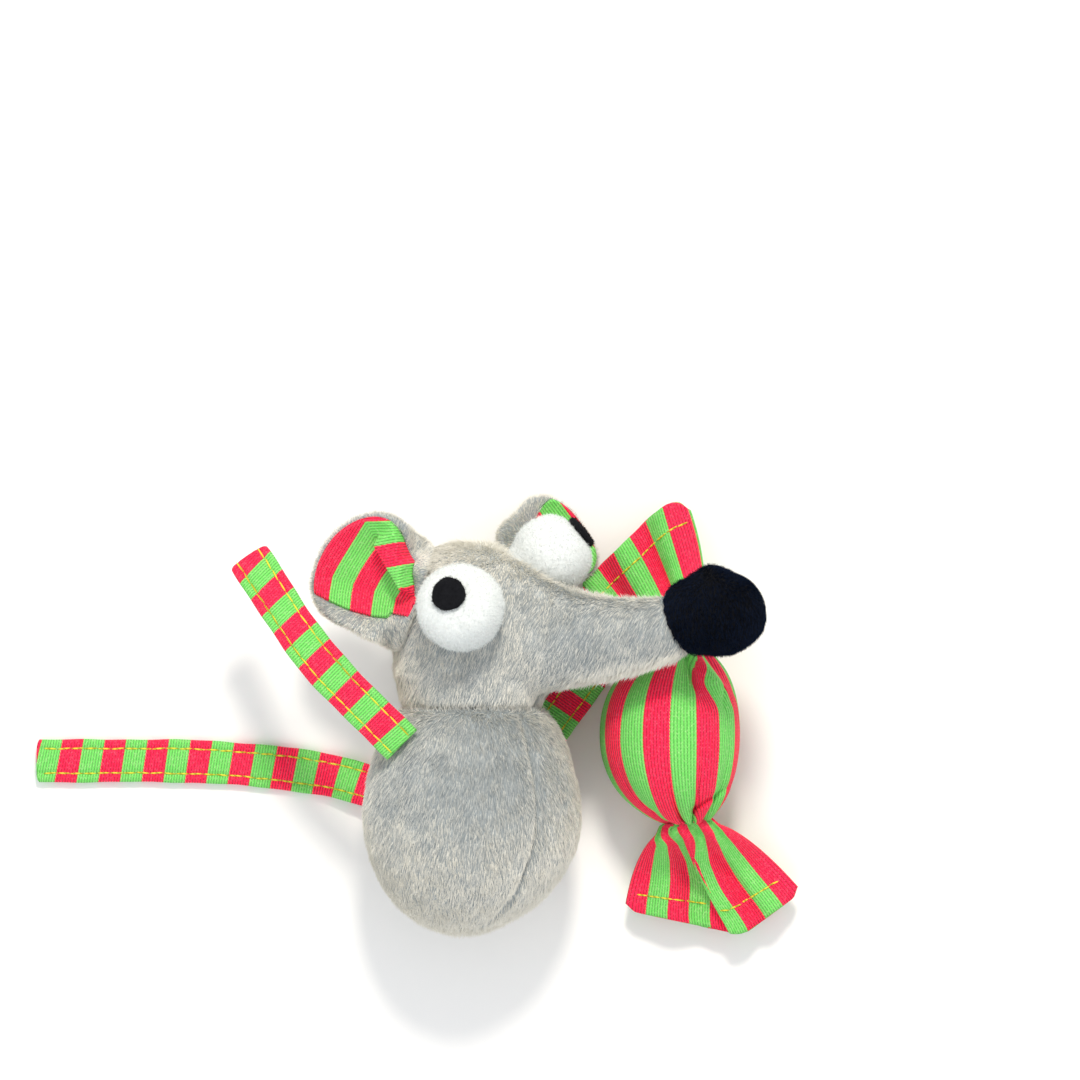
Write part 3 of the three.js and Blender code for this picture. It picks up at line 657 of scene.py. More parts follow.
def cotton_material(name, pink, green, yarn, pink_yarn, ribs):
    """Striped cotton jersey: bands of two dyed yarns, fine ribs of looped stitches painted darker in their
    hollows and paler on their loops as painted shade and light, and pale flecks of yarn.

    The UV map runs across the bands in band widths and along them in the same unit."""
    material, tree, coords = new_material(name, 0.8, 0.12, yarn)

    def blend(share, first, second):
        return add_node(tree, "ShaderNodeMix", {0: share, 6: first, 7: second}, data_type="RGBA").outputs[2]

    cloth = add_node(tree, "ShaderNodeUVMap", uv_map="cloth")
    part = add_node(tree, "ShaderNodeSeparateXYZ", {0: cloth}).outputs
    leg = maths(tree, "PINGPONG", maths(tree, "MULTIPLY", part["X"], ribs), 0.5)
    along = maths(tree, "MULTIPLY_ADD", part["Y"], ribs * 0.8, maths(tree, "MULTIPLY", leg, 2.2))
    loop = maths(tree, "PINGPONG", along, 0.5)
    tooth = maths(tree, "MULTIPLY_ADD", loop, 0.09, part["X"])
    pair = maths(tree, "FRACT", maths(tree, "MULTIPLY", tooth, 0.5))
    is_pink = maths(tree, "GREATER_THAN", pair, 0.5)
    height = maths(tree, "MULTIPLY_ADD", loop, 0.5, maths(tree, "MULTIPLY", leg, 1.4))
    # Painted shade and light: the dye is darkened in the hollows between the ribs, stronger on the pink
    # bands, and lightened on the raised loops.
    least = maths(tree, "MULTIPLY_ADD", is_pink, -0.2, 0.46)
    hollow = add_node(tree, "ShaderNodeMapRange", {0: height, 1: 0.06, 2: 0.6, 3: least, 4: 1.14})
    dye_with_painted_rib_shade = vectors(tree, "SCALE", blend(is_pink, green, pink), hollow)
    fleck = grain(tree, coords, 0.42, Detail=2.0, Roughness=0.6)
    fleck = add_node(tree, "ShaderNodeMapRange", {0: fleck, 1: 0.48, 2: 0.7, 3: 0.0, 4: 1.0})
    fleck = maths(tree, "MULTIPLY", fleck, loop)
    dress(tree, blend(fleck, dye_with_painted_rib_shade, blend(is_pink, yarn, pink_yarn)), height, 0.55, 0.2)
    return material


def thread_material(name, colour, shadow):
    """Twisted polyester thread: a slight gloss, with a fine diagonal twist."""
    material, tree, coords = new_material(name, 0.45)
    twist = add_node(tree, "ShaderNodeTexWave", {
        "Vector": coords, "Scale": 1 / (2.2 * MM), "Distortion": 1.0}, bands_direction="DIAGONAL").outputs[1]
    dress(tree, ramp(tree, twist, (0.0, shadow), (0.6, colour)), twist, 0.4, 0.06)
    return material


def floor_material(name, colour):
    """Matt white paper: a faint tooth and almost no shine."""
    material, tree, coords = new_material(name, 0.9)
    dress(tree, colour, grain(tree, coords, 3, Detail=3.0), 0.1, 0.05)
    return material


def material_named(name):
    """Material of the toy by its common name, made when it is first asked for."""
    known = bpy.data.materials.get(name)
    if known:
        return known
    scene = bpy.context.scene
    plush, felt, cotton = scene.mouse_plush, scene.mouse_felt, scene.mouse_cotton
    makers = {
        "grey acrylic pile": (pile_material, plush.dark, plush.middle, plush.light, 0.35, 0.25),
        "grey plush backing": (backing_material, linear("8F989C"), plush.middle),
        "navy acrylic pile": (pile_material, linear("010208"), plush.nose, plush.nose_light, 0.0, 0.04),
        "navy plush backing": (backing_material, linear("040509"), plush.nose),
        "white wool felt": (felt_material, felt.white, linear("D9DAD6")),
        "black wool felt": (felt_material, felt.black, linear("020204")),
        "striped cotton jersey": (cotton_material, cotton.pink, cotton.green, cotton.yarn, cotton.pink_yarn,
                                  round(cotton.band / cotton.rib)),
        "sewing thread": (thread_material, cotton.yellow, linear("A89A1E")),
        "green thread": (thread_material, linear("3E9A45"), linear("235F2B")),
        "polyester fibre fill": (felt_material, linear("F4F2EA"), linear("CFCCC0")),
        "catnip muslin": (felt_material, linear("D8D6BE"), linear("77805A")),
        "white paper": (floor_material, scene.mouse_stage.floor),
    }
    make, *looks = makers[name]
    return make(name, *looks)


# Body: how far its skin is tucked in before it swells, all over and at a seam, and how far it may swell
BODY_TUCK = 0.45
BODY_SEAM_TUCK = 0.25
BODY_SWELL = 0.9
PUCKER_PITCH = 3.4
GORE_COLUMNS = 30
FLOOR_SOFT = 0.9
FLOOR_GAP = 0.1


def body_skin():
    """Rows of points from foot to neck, each point's seam distance, and how far each column's seam shows."""
    step = np.linspace(0, 1, GORE_COLUMNS, endpoint=False)
    step = step - 0.5 * np.sin(2 * np.pi * step) / (2 * np.pi)
    angles = [low + (high - low) * step for low, high in zip(SEAM_ANGLES, SEAM_ANGLES[1:])]
    angles = np.radians(np.concatenate(angles))
    foot = np.radians(np.append(0.9, np.linspace(3, 90, 24, endpoint=False)))
    shoulder = np.linspace(0, math.asin((NECK_Y - 0.1) / BODY_UPPER), 20)
    heights = np.concatenate((-BODY_LOWER * np.cos(foot), BODY_UPPER * np.sin(shoulder)))
    spread = np.concatenate((BODY_RADIUS * np.sin(foot), BODY_RADIUS * np.cos(shoulder)))
    spread = spread - NECK_ROLL * np.clip((heights - NECK_Y + 4) / 4, 0, 1)**2
    out = np.stack((np.sin(angles), np.zeros_like(angles), np.cos(angles)), 1)
    points = out[None] * spread[:, None, None]
    points[..., 1] = heights[:, None]
    points[..., 0] += BODY_LEAN * (np.minimum(heights, 0) / BODY_LOWER)[:, None] ** 2
    points[..., 2] += AXIS_Z
    apart = np.abs([(angles - np.radians(s) + np.pi) % (2 * np.pi) - np.pi for s in SEAM_ANGLES])
    shows = np.array(SEAM_SHOWS)[np.argmin(apart, axis=0)]
    return points, apart.min(axis=0)[None] * spread[:, None], shows


def lay_flat(points):
    """Flattens the underside softly where it lies on the floor."""
    z = points[:, 2]
    soft = FLOOR_SOFT - FLOOR_GAP
    points[:, 2] = np.where(z < FLOOR_SOFT, FLOOR_GAP + soft * np.exp((z - FLOOR_SOFT) / soft), z)
    return points


class MOUSE_OT_body(bpy.types.Operator):
    """Sews the body from four plush gores, swells them and grows their pile"""
    bl_idname = "mouse.body"
    bl_label = "Body"

    def execute(self, context):
        depth = context.scene.mouse_plush.seam_depth / MM
        points, seam, shows = body_skin()
        rows, columns = seam.shape
        last = rows * columns
        out = points - points.mean(axis=1, keepdims=True)
        tuck = BODY_TUCK + BODY_SEAM_TUCK * bump(seam, 1.3) * shows
        tuck = np.minimum(tuck, 0.2 * np.linalg.norm(out, axis=2))
        foot = (BODY_LEAN, -BODY_LOWER + 0.3, AXIS_Z)
        neck = (0, NECK_Y - 0.1, AXIS_Z)
        start = np.concatenate((pushed(points, unit(out), -tuck).reshape(-1, 3), (foot, neck)))
        skin = face_out(add_object("body_skin", start, tube_faces(rows, columns)))
        held = np.zeros(len(start), bool)
        held[:last] = (seam < 0.2).ravel()
        held[last - 2 * columns:] = True
        held[:columns] = True
        puff(skin, held, BODY_SWELL * MM)
        full = points_of(skin.data) / MM
        normals = points_of(skin.data, "normal")
        near = np.append(seam.ravel(), (9, 9))
        shows = np.append(np.tile(shows, rows), (0, 0))
        pucker = 0.12 * np.cos(full[:, 1] * 2 * np.pi / PUCKER_PITCH) * bump(near, 2.2) * shows
        lump = 0.3 * lumps(full, 11, 1) + 0.12 * lumps(full, 4, 2)
        drawn = depth * bump(near, 0.6) * shows * ease(NECK_Y - full[:, 1], 0.5, 3.0)
        drawn = drawn * ease(full[:, 1], -BODY_LOWER, -BODY_LOWER + 6)
        full = lay_flat(pushed(full, normals, lump + pucker - drawn + 0.15))
        grid = full[:last].reshape(rows, columns, 3)
        parted = 0.75 * (bump(near, 0.5) * shows)[:last].reshape(rows, columns)
        for k, gore in enumerate(GORES):
            picked = np.arange(k * GORE_COLUMNS, (k + 1) * GORE_COLUMNS + 1) % columns
            self.add_gore(k, gore, grid[:, picked], parted[:, picked].ravel(), grid.mean(axis=(0, 1)))
        bpy.data.objects.remove(skin)
        return {"FINISHED"}

    def add_gore(self, k, gore, part, parted, middle):
        """One gore, with its pile parted at the seams, thin on the floor, laid towards the foot, and painted
        shade that darkens it towards the neck and on its left side.
        """
        faces, _ = grid_faces(*part.shape[:2])
        part = part.reshape(-1, 3)
        piece = add_object(f"{gore}_gore", part, faces, "grey plush backing")
        face_along(piece, part - middle)
        parted = parted * ease(NECK_Y - part[:, 1], 0.8, 3.0)
        cover = np.where(part[:, 2] < 0.6, 0.25, 1.0) * (1 - parted)
        swept = 2 * ease(part[:, 1], NECK_Y - 1.0, NECK_Y - 0.1) - 1
        nap = np.stack((0.012 * (part[:, 0] - 4), swept, np.zeros(len(part))), 1)
        # Painted shade: the pile is darker towards the neck, under the head, and on the body's left side.
        painted_shading = 0.06 - 0.24 * ease(part[:, 1], -13, 7) - 0.1 * ease(-part[:, 0], 9, 17)
        add_pile(f"{gore}_gore_pile", piece, nap, "torso", "plush", "grey acrylic pile", GORE_SEED + k,
                 cover, painted_shading)
        thicken(piece, bpy.context.scene.mouse_plush.backing)
        settle(piece, "torso", "plush", f"body_{gore}_panel")


# Head: how far its skin is tucked in before it swells, all over and at the seam, and how far it may swell
HEAD_TUCK = 0.35
HEAD_SEAM_TUCK = 0.3
HEAD_SWELL = 0.7
EYE_BARE_RADIUS = 6.2
EYE_BARE_REACH = 8


def snout_path(t):
    """Point and direction on the middle line from the head's centre to the snout's end."""
    t = np.asarray(t, float)[:, None]
    a, b = HEAD_CENTRE, HEAD_CENTRE + SNOUT_LEAVE
    c, d = SNOUT_TIP - NOSE_AXIS * SNOUT_ARRIVE, SNOUT_TIP
    point = (1 - t)**3 * a + 3 * t * (1 - t)**2 * b + 3 * t**2 * (1 - t) * c + t**3 * d
    way = (1 - t)**2 * (b - a) + 2 * t * (1 - t) * (c - b) + t**2 * (d - c)
    return point, unit(way)


def seam_height(x):
    """Height of the crown and chin seam over each x."""
    line, _ = snout_path(np.linspace(0, 1, 30))
    before = line[0] - np.array((30, 0, 24))
    after = line[-1] + np.array((30, 0, 7.5))
    line = np.concatenate((before[None], line, after[None]))
    return np.interp(x, line[:, 0], line[:, 2])


def smooth_radii(t):
    """Snout radius along the middle line, eased through its stations."""
    slopes = np.gradient(SNOUT_RADII, SNOUT_STATIONS)
    slopes[0] = -2.0
    out = np.zeros_like(t)
    for i, (low, high) in enumerate(zip(SNOUT_STATIONS, SNOUT_STATIONS[1:])):
        inside = (t >= low) & (t <= high)
        step = high - low
        out[inside] = hermite((t[inside] - low) / step, SNOUT_RADII[i], step * slopes[i],
                              SNOUT_RADII[i + 1], step * slopes[i + 1])
    return out


def head_skin():
    """One smooth skin over the head's ball, snout and neck."""
    turn = round_turn(44)
    t = np.linspace(0, 1, 34)
    centres, ways = snout_path(t)
    back = np.radians(np.linspace(6, 84, 13))
    centres = np.concatenate((centres[0] - ways[0] * HEAD_RADIUS * np.cos(back)[:, None], centres))
    radii = np.concatenate((HEAD_RADIUS * np.sin(back), smooth_radii(t)))
    ways = np.concatenate((np.repeat(ways[:1], len(back), 0), ways))
    across = unit(np.cross((0, 1, 0), ways))
    up = np.cross(ways, across)
    snout = add_closed("head_skin", (
        centres[:, None] + radii[:, None, None] * circle(turn, across[:, None], up[:, None])))
    base = BODY_RADIUS * math.sqrt(1 - (NECK_Y / BODY_UPPER)**2) - NECK_ROLL
    heights = NECK_Y + np.array((0.25, 0.4, 1.2, 3.9, 6.5, 9.1, 13.0))
    spread = np.array((base - 0.2, base, base + 0.3, 13.6, 14.2, 14.3, 13.2))
    neck = add_closed("neck_skin", np.stack((
        np.sin(turn) * spread[:, None], np.repeat(heights[:, None], len(turn), 1),
        AXIS_Z + np.cos(turn) * spread[:, None]), 2))
    with edited(snout.data) as bm:
        bm.from_mesh(neck.data)
    bpy.data.objects.remove(neck)
    return remeshed(snout, 0.8, 7)


class MOUSE_OT_head(bpy.types.Operator):
    """Sews the head from two plush halves that meet over the crown and chin, and grows their pile"""
    bl_idname = "mouse.head"
    bl_label = "Head"

    def execute(self, context):
        depth = context.scene.mouse_plush.seam_depth / MM
        skin = head_skin()
        start = points_of(skin.data) / MM
        normals = points_of(skin.data, "normal")
        from_seam = np.abs(start[:, 2] - seam_height(start[:, 0])) / 1.15
        tuck = HEAD_TUCK + HEAD_SEAM_TUCK * bump(from_seam, 1.6)
        move_points(skin.data, pushed(start, normals, -tuck) * MM)
        held = (from_seam < 0.6) | (start[:, 1] < NECK_Y + 1.6) | ((start - SNOUT_TIP) @ NOSE_AXIS > -1.5)
        puff(skin, held, HEAD_SWELL * MM)
        full = points_of(skin.data) / MM
        lump = 0.22 * lumps(full, 10, 3) + 0.1 * lumps(full, 4, 4)
        full = pushed(full, normals, lump + 0.1 - depth * bump(from_seam, 1.0))
        full[:, 1] = np.maximum(full[:, 1], NECK_Y + 0.25)
        full[:, 2] -= seam_height(full[:, 0])
        move_points(skin.data, full * MM)
        with edited(skin.data) as bm:
            bmesh.ops.bisect_plane(bm, geom=bm.verts[:] + bm.edges[:] + bm.faces[:], dist=0.02 * MM,
                                   plane_co=(0, 0, 0), plane_no=(0, 0, 1))
        for k, (side, sign) in enumerate((("right", 1), ("left", -1))):
            self.add_half(k, side, sign, skin)
        bpy.data.objects.remove(skin)
        return {"FINISHED"}

    def add_half(self, k, side, sign, skin):
        """One half, with its pile bare under the eyes and nose, longer under the snout, and painted light and
        shade in its colour.
        """
        mesh = bpy.data.meshes.new(f"{side}_head_half")
        with edited(skin.data, mesh) as bm:
            spare = [f for f in bm.faces if f.calc_center_median().z * sign < 0]
            bmesh.ops.delete(bm, geom=spare, context="FACES")
        part = points_of(mesh) / MM
        part[:, 2] += seam_height(part[:, 0])
        move_points(mesh, part * MM)
        mesh.materials.append(material_named("grey plush backing"))
        mesh.shade_smooth()
        piece = link_object(mesh.name, mesh)
        hidden = (part[:, 1] < NECK_Y + 0.4) | ((part - SNOUT_TIP) @ NOSE_AXIS > -0.2)
        for seat, axis in EYES.values():
            base = HEAD_CENTRE + unit(seat) * HEAD_RADIUS
            off = np.linalg.norm(np.cross(part - base, unit(axis)), axis=1)
            near = np.linalg.norm(part - base, axis=1) < EYE_BARE_REACH
            hidden |= (off < EYE_BARE_RADIUS) & near
        normals = points_of(mesh, "normal")
        cover = np.where(hidden, 0.0, 0.93 - 0.25 * ease(-normals[:, 2], 0.2, 0.8))
        under = ease(-normals[:, 1], 0.55, 0.9) * ease(part[:, 0], 14, 22)
        # Painted light and shade: the crown is painted paler, the snout darker, and the fringe under the
        # snout paler.
        painted_shading = 0.24 * ease(part[:, 1], 41, 47) - 0.14 * ease(part[:, 0], 8, 18) + 0.2 * under
        add_pile(f"{side}_head_pile", piece, unit((-0.34, -1.0, 0.0)), "head", "plush", "grey acrylic pile",
                 HEAD_SEED + k, cover, painted_shading, 1 + 0.7 * under)
        thicken(piece, bpy.context.scene.mouse_plush.backing)
        settle(piece, "head", "plush", f"head_{side}_panel")


def lathe(profile, base, axis, sides):
    """Rings round an axis from radius and height pairs, with each ring point's turn and way out."""
    axis = unit(axis)
    across = unit(np.cross(UP if abs(axis[2]) < 0.95 else (1, 0, 0), axis))
    turn = round_turn(sides)
    rim = circle(turn, across, np.cross(axis, across))
    radii, heights = np.asarray(profile, float).T[:, :, None, None]
    return base + heights * axis + radii * rim, turn, rim


def eased_profile(count, *pairs):
    """Radius and height pairs, eased into a smooth line of more of them."""
    path, _ = catmull([(r, h, 0) for r, h in pairs], count)
    return path[:, :2]


def gathered(rings, turn, rim, heights, count):
    """Rings drawn in by a number of stitches round the seam at height nought."""
    return pushed(rings, rim, 0.22 * np.cos(count * turn) * bump(heights, 2.4)[:, None])


# Pile and fuzz that differ from the plush's, as inputs of the pile's node tree in metres
NOSE_PILE = {"Length": 0.0008, "Rise": 0.45, "Density": 26e6}
EAR_PILE = {"Length": 0.0009}
FUZZ = {"Radius": 0.00004, "Rise": 0.35, "Stray": 1.6, "Clump": 0.0007}
PUPIL_FUZZ = {**FUZZ, "Length": 0.0004, "Clump": 0.0006, "Density": 16e6}
NOSE_STITCHES = 13
EYE_STITCHES = 15


class MOUSE_OT_nose(bpy.types.Operator):
    """Sews the dark plush nose, drawn in at its seam, and grows its short pile"""
    bl_idname = "mouse.nose"
    bl_label = "Nose"

    def execute(self, context):
        middle = SNOUT_TIP + NOSE_AXIS * (NOSE_LENGTH - NOSE_HALF)
        wide = NOSE_RADIUS - 0.2
        profile = eased_profile(
            38, (5.2, -0.8), (6.2, 0.2), (6.9, 2.0), (wide - 0.2, 5.0), (wide, 8.5), (wide - 0.4, 11.2),
            (5.9, 13.7), (3.3, 15.4), (1.2, 16.0), (0.3, 16.1))
        heights = profile[:, 1]
        rings, turn, rim = lathe(profile, SNOUT_TIP, NOSE_AXIS, 48)
        droop = 0.85 * ease(heights, 0, 8) + 0.75 * ease(heights, 10, 16)
        rings = rings + droop[:, None, None] * unit((0.38, -0.92, 0.0))
        peak = 0.9 * bump(heights - 8.8, 2.4) - 0.4 * bump(heights - 4, 1.6) - 0.9 * bump(heights - 13.2, 2.2)
        rings = pushed(rings, rim, peak[:, None] * np.maximum(rim[:, 1], 0)**2)
        rings = gathered(rings, turn, rim, heights, NOSE_STITCHES)
        rings = pushed(rings, unit(rings - middle), 0.35 * lumps(rings, 7, 5) - 0.25)
        nose = add_closed("nose", rings, "navy plush backing")
        part = points_of(nose.data) / MM
        cover = np.where((part - SNOUT_TIP) @ NOSE_AXIS < -0.2, 0.0, 1.0)
        add_pile("nose_pile", nose, unit((0.2, -1.0, 0.1)), "head", "nose_plush", "navy acrylic pile",
                 NOSE_SEED, cover, **NOSE_PILE)
        settle(nose, "head", "nose_plush", "nose_cover")
        return {"FINISHED"}


class MOUSE_OT_eyes(bpy.types.Operator):
    """Sews the white felt eyes and sticks on the black felt pupils"""
    bl_idname = "mouse.eyes"
    bl_label = "Eyes"

    def execute(self, context):
        felt = context.scene.mouse_felt
        cut = eased_profile(
            40, (5.4, -3.2), (6.35, 0), (7.4, 2.3), (7.8, 4.8), (7.3, 7.6), (5.85, 9.9), (3.4, 11.25),
            (1.2, 11.7), (0.25, 11.75))
        for k, (side, (seat, axis)) in enumerate(EYES.items()):
            base = HEAD_CENTRE + unit(seat) * HEAD_RADIUS
            profile = cut * EYE_SIZES[side]
            rings, turn, rim = lathe(profile, base, axis, 52)
            rings = gathered(rings, turn, rim, profile[:, 1], EYE_STITCHES)
            middle = base + unit(axis) * 4.5
            rings = pushed(rings, unit(rings - middle), 0.2 * lumps(rings, 5, 6 + k))
            eye = add_closed(f"{side}_eye", rings, "white wool felt")
            part = points_of(eye.data) / MM
            cover = np.where((part - base) @ unit(axis) < -1.0, 0.0, 1.0)
            add_pile(f"{side}_eye_fuzz", eye, (0, 0, 0), "head", "white_felt", "white wool felt",
                     EYE_SEED + k, cover, Length=felt.fuzz_length, Density=felt.fuzz_density * 1e6, **FUZZ)
            settle(eye, "head", "white_felt", f"{side}_eye_cover")
            looking = unit(PUPIL_WAYS[side])
            self.add_pupil(side, base + looking * (EYE_HEIGHT * EYE_SIZES[side] + GAP), looking, k)
        return {"FINISHED"}

    def add_pupil(self, side, front, axis, k):
        """Felt disc with a soft cut edge."""
        edge = PUPIL_RADIUS
        rise = PUPIL_THICKNESS
        profile = np.array((
            (0.3, -0.35), (edge * 0.8, -0.35), (edge - 0.1, -0.2), (edge, 0.2), (edge - 0.08, rise - 0.25),
            (edge - 0.4, rise), (edge * 0.6, rise + 0.08), (0.3, rise + 0.1)))
        rings, turn, rim = lathe(profile, front, axis, 40)
        ragged = 0.07 * np.cos(3 * turn + k) + 0.05 * np.cos(7 * turn + 2)
        rings = pushed(rings, rim, ragged * (profile[:, 0] / edge)[:, None])
        disc = add_closed(f"{side}_pupil_disc", rings, "black wool felt")
        add_pile(f"{side}_pupil_fuzz", disc, (0, 0, 0), "head", "black_felt", "black wool felt",
                 PUPIL_SEED + k, **PUPIL_FUZZ)
        settle(disc, "head", "black_felt", f"{side}_pupil")


# Ears
def ear_frame(side):
    """Base, tip, side and facing directions of an ear."""
    seat, tip, facing = (unit(v) for v in EARS[side])
    base = HEAD_CENTRE + seat * (HEAD_RADIUS + GAP)
    facing = unit(facing - tip * (facing @ tip))
    return base, tip, np.cross(facing, tip), facing


def ear_reach(side, turn):
    """Distance from the ear's middle to its edge; its base follows the head's round."""
    if side == "right":
        soft = (1.1 + 0.09 * bump(turn + 1.6, 0.7) + 0.04 * bump(turn - 0.5, 0.4)
                - 0.17 * bump(turn - 1.45, 0.45) + 0.3 * ease(np.abs(turn), 1.95, 2.5))
    else:
        soft = 0.81 - 0.17 * bump(turn - 1.15, 0.45) + 0.24 * bump(turn + 1.65, 0.55)
    curve = EAR_BASE_CURVE * np.sin(turn)**2
    inner = np.cos(turn)**2 - 4 * curve * EAR_MIDDLE
    meets = (np.cos(turn) < 0) & (inner > 0)
    base = 2 * EAR_MIDDLE / (-np.cos(turn) + np.sqrt(np.maximum(inner, 0)) + 1e-9)
    return np.minimum(EAR_RADIUS * soft, np.where(meets, base, np.inf))


def lining_reach(side, turn):
    """Distance from the ear's middle to its lining's edge: the plush border is wide on one side."""
    reach = ear_reach(side, turn)
    if side == "left":
        return reach * (0.97 - 0.5 * ease(turn, 0.05, 0.6))
    reach = reach * (0.95 - 0.33 * bump(turn + 2.4, 0.5))
    for _ in range(12):
        y = reach * np.sin(turn)
        lip = 6.6 - 0.019 * (12 - EAR_MIDDLE - reach * np.cos(turn))**2
        reach = np.where(y > lip, reach * (lip / np.maximum(y, 1))**0.7, reach)
    return reach


def on_ear(side, x, y, lift):
    """Points over the plane of an ear's base, lifted off the cup that it is bent into."""
    base, tip, across, facing = ear_frame(side)
    bowl = EAR_CUP * ((x - EAR_MIDDLE)**2 + y**2 - EAR_MIDDLE**2) / EAR_RADIUS**2
    z = bowl + EAR_PINCH * np.abs(y) * np.maximum(0, 1 - x / EAR_MIDDLE) + lift
    return base + x[..., None] * tip + y[..., None] * across + z[..., None] * facing


def ear_drop(side, x, y):
    """How far the right ear's base corners are drawn down onto the head."""
    if side == "left":
        return np.zeros_like(x)
    middle = on_ear(side, x, y, 0.0)
    flat = np.sum((middle - HEAD_CENTRE)[..., :2]**2, axis=-1)
    level = HEAD_CENTRE[2] + np.sqrt(np.maximum((HEAD_RADIUS + 0.8)**2 - flat, 4.0))
    return ease(-x, -6, 0) * ease(np.abs(y), 3, 8) * np.maximum(middle[..., 2] - level, 0)


def ear_rings(side, turn, reach, out, lift):
    """Rings of an ear's cloth at shares of its reach, lifted off its cup."""
    x = EAR_MIDDLE + out[:, None] * reach * np.cos(turn)
    y = out[:, None] * reach * np.sin(turn)
    rings = on_ear(side, x, y, lift)
    rings[..., 2] -= ear_drop(side, x, y)
    return rings


# Folds of the right ear's lining and its bands, in the frame's X and Y: the pinch that the base is sewn into,
# and the softer line where the lower lip turns up
PINCH_TOP = np.array((-17.6, 50.4))
PINCH_FOOT = np.array((-10.6, 38.3))
PINCH_WAY = unit(PINCH_FOOT - PINCH_TOP)
LIP_START = np.array((-26.5, 43.6))
LIP_END = np.array((-12.5, 38.9))
LIP_WAY = unit(LIP_END - LIP_START)
BAND_WAY = unit((0.53, 0.85))
BAND_EDGE = np.array((-21.7, 42.2))

# The left ear's lining has straight bands: a point on an edge, the way across them and the way along them
LEFT_BAND_EDGE = np.array((16.2, 56.7))
LEFT_BAND_ACROSS = np.array((0.79, 0.61))
LEFT_BAND_WAY = unit((0.61, -0.79))


def mirrored(v, line):
    return 2 * line * (v @ line) - v


def lining_bands(side, flat):
    """Distance across and along the bands at each point of a lining; the right ear's turn at its folds."""
    if side == "left":
        return (flat - LEFT_BAND_EDGE) @ LEFT_BAND_ACROSS, flat @ LEFT_BAND_WAY
    across = left_of(BAND_WAY)
    main = (flat - BAND_EDGE) @ across
    flap = (PINCH_TOP - BAND_EDGE) @ across + (flat - PINCH_TOP) @ mirrored(across, PINCH_WAY)
    under = (LIP_START - BAND_EDGE) @ across + (flat - LIP_START) @ mirrored(across, LIP_WAY)
    beyond = (flat - PINCH_TOP) @ left_of(PINCH_WAY) > 0
    under_lip = (flat - LIP_START) @ left_of(LIP_WAY) < 0
    on_flap = beyond & ~(under_lip & (under < flap))
    bands = np.where(on_flap, flap, np.where(under_lip, under, main))
    runs = np.where(on_flap, flat @ mirrored(BAND_WAY, PINCH_WAY), np.where(
        under_lip, flat @ mirrored(BAND_WAY, LIP_WAY), flat @ BAND_WAY))
    return bands, runs


def pinched(points, facing, inner):
    """Points of the right ear's lining, laid in a flap over its pinch."""
    beyond = left_of(PINCH_WAY)
    from_top = points[:, :2] - PINCH_TOP
    off = from_top @ beyond - 0.8
    down = ease(from_top @ PINCH_WAY, -0.6, 1.8)
    flap = ease(off, -0.15, 0.5) * bump(np.maximum(off - 0.6, 0), 3.8)
    valley = 0.5 * bump((points[:, :2] - LIP_START) @ left_of(LIP_WAY), 1.6)
    hollow = np.where(off < 0, bump(off, 2.2), 1 - ease(off, -0.15, 0.5)) * down
    rise = np.maximum(2.1 * flap * down - hollow - valley, -1.35) * inner
    lapped = 1.6 * ease(off, -0.1, 0.5) * bump(np.maximum(off - 0.6, 0), 1.9) * down * inner
    points = pushed(points, facing, rise)
    points[:, :2] -= lapped[:, None] * beyond
    return points


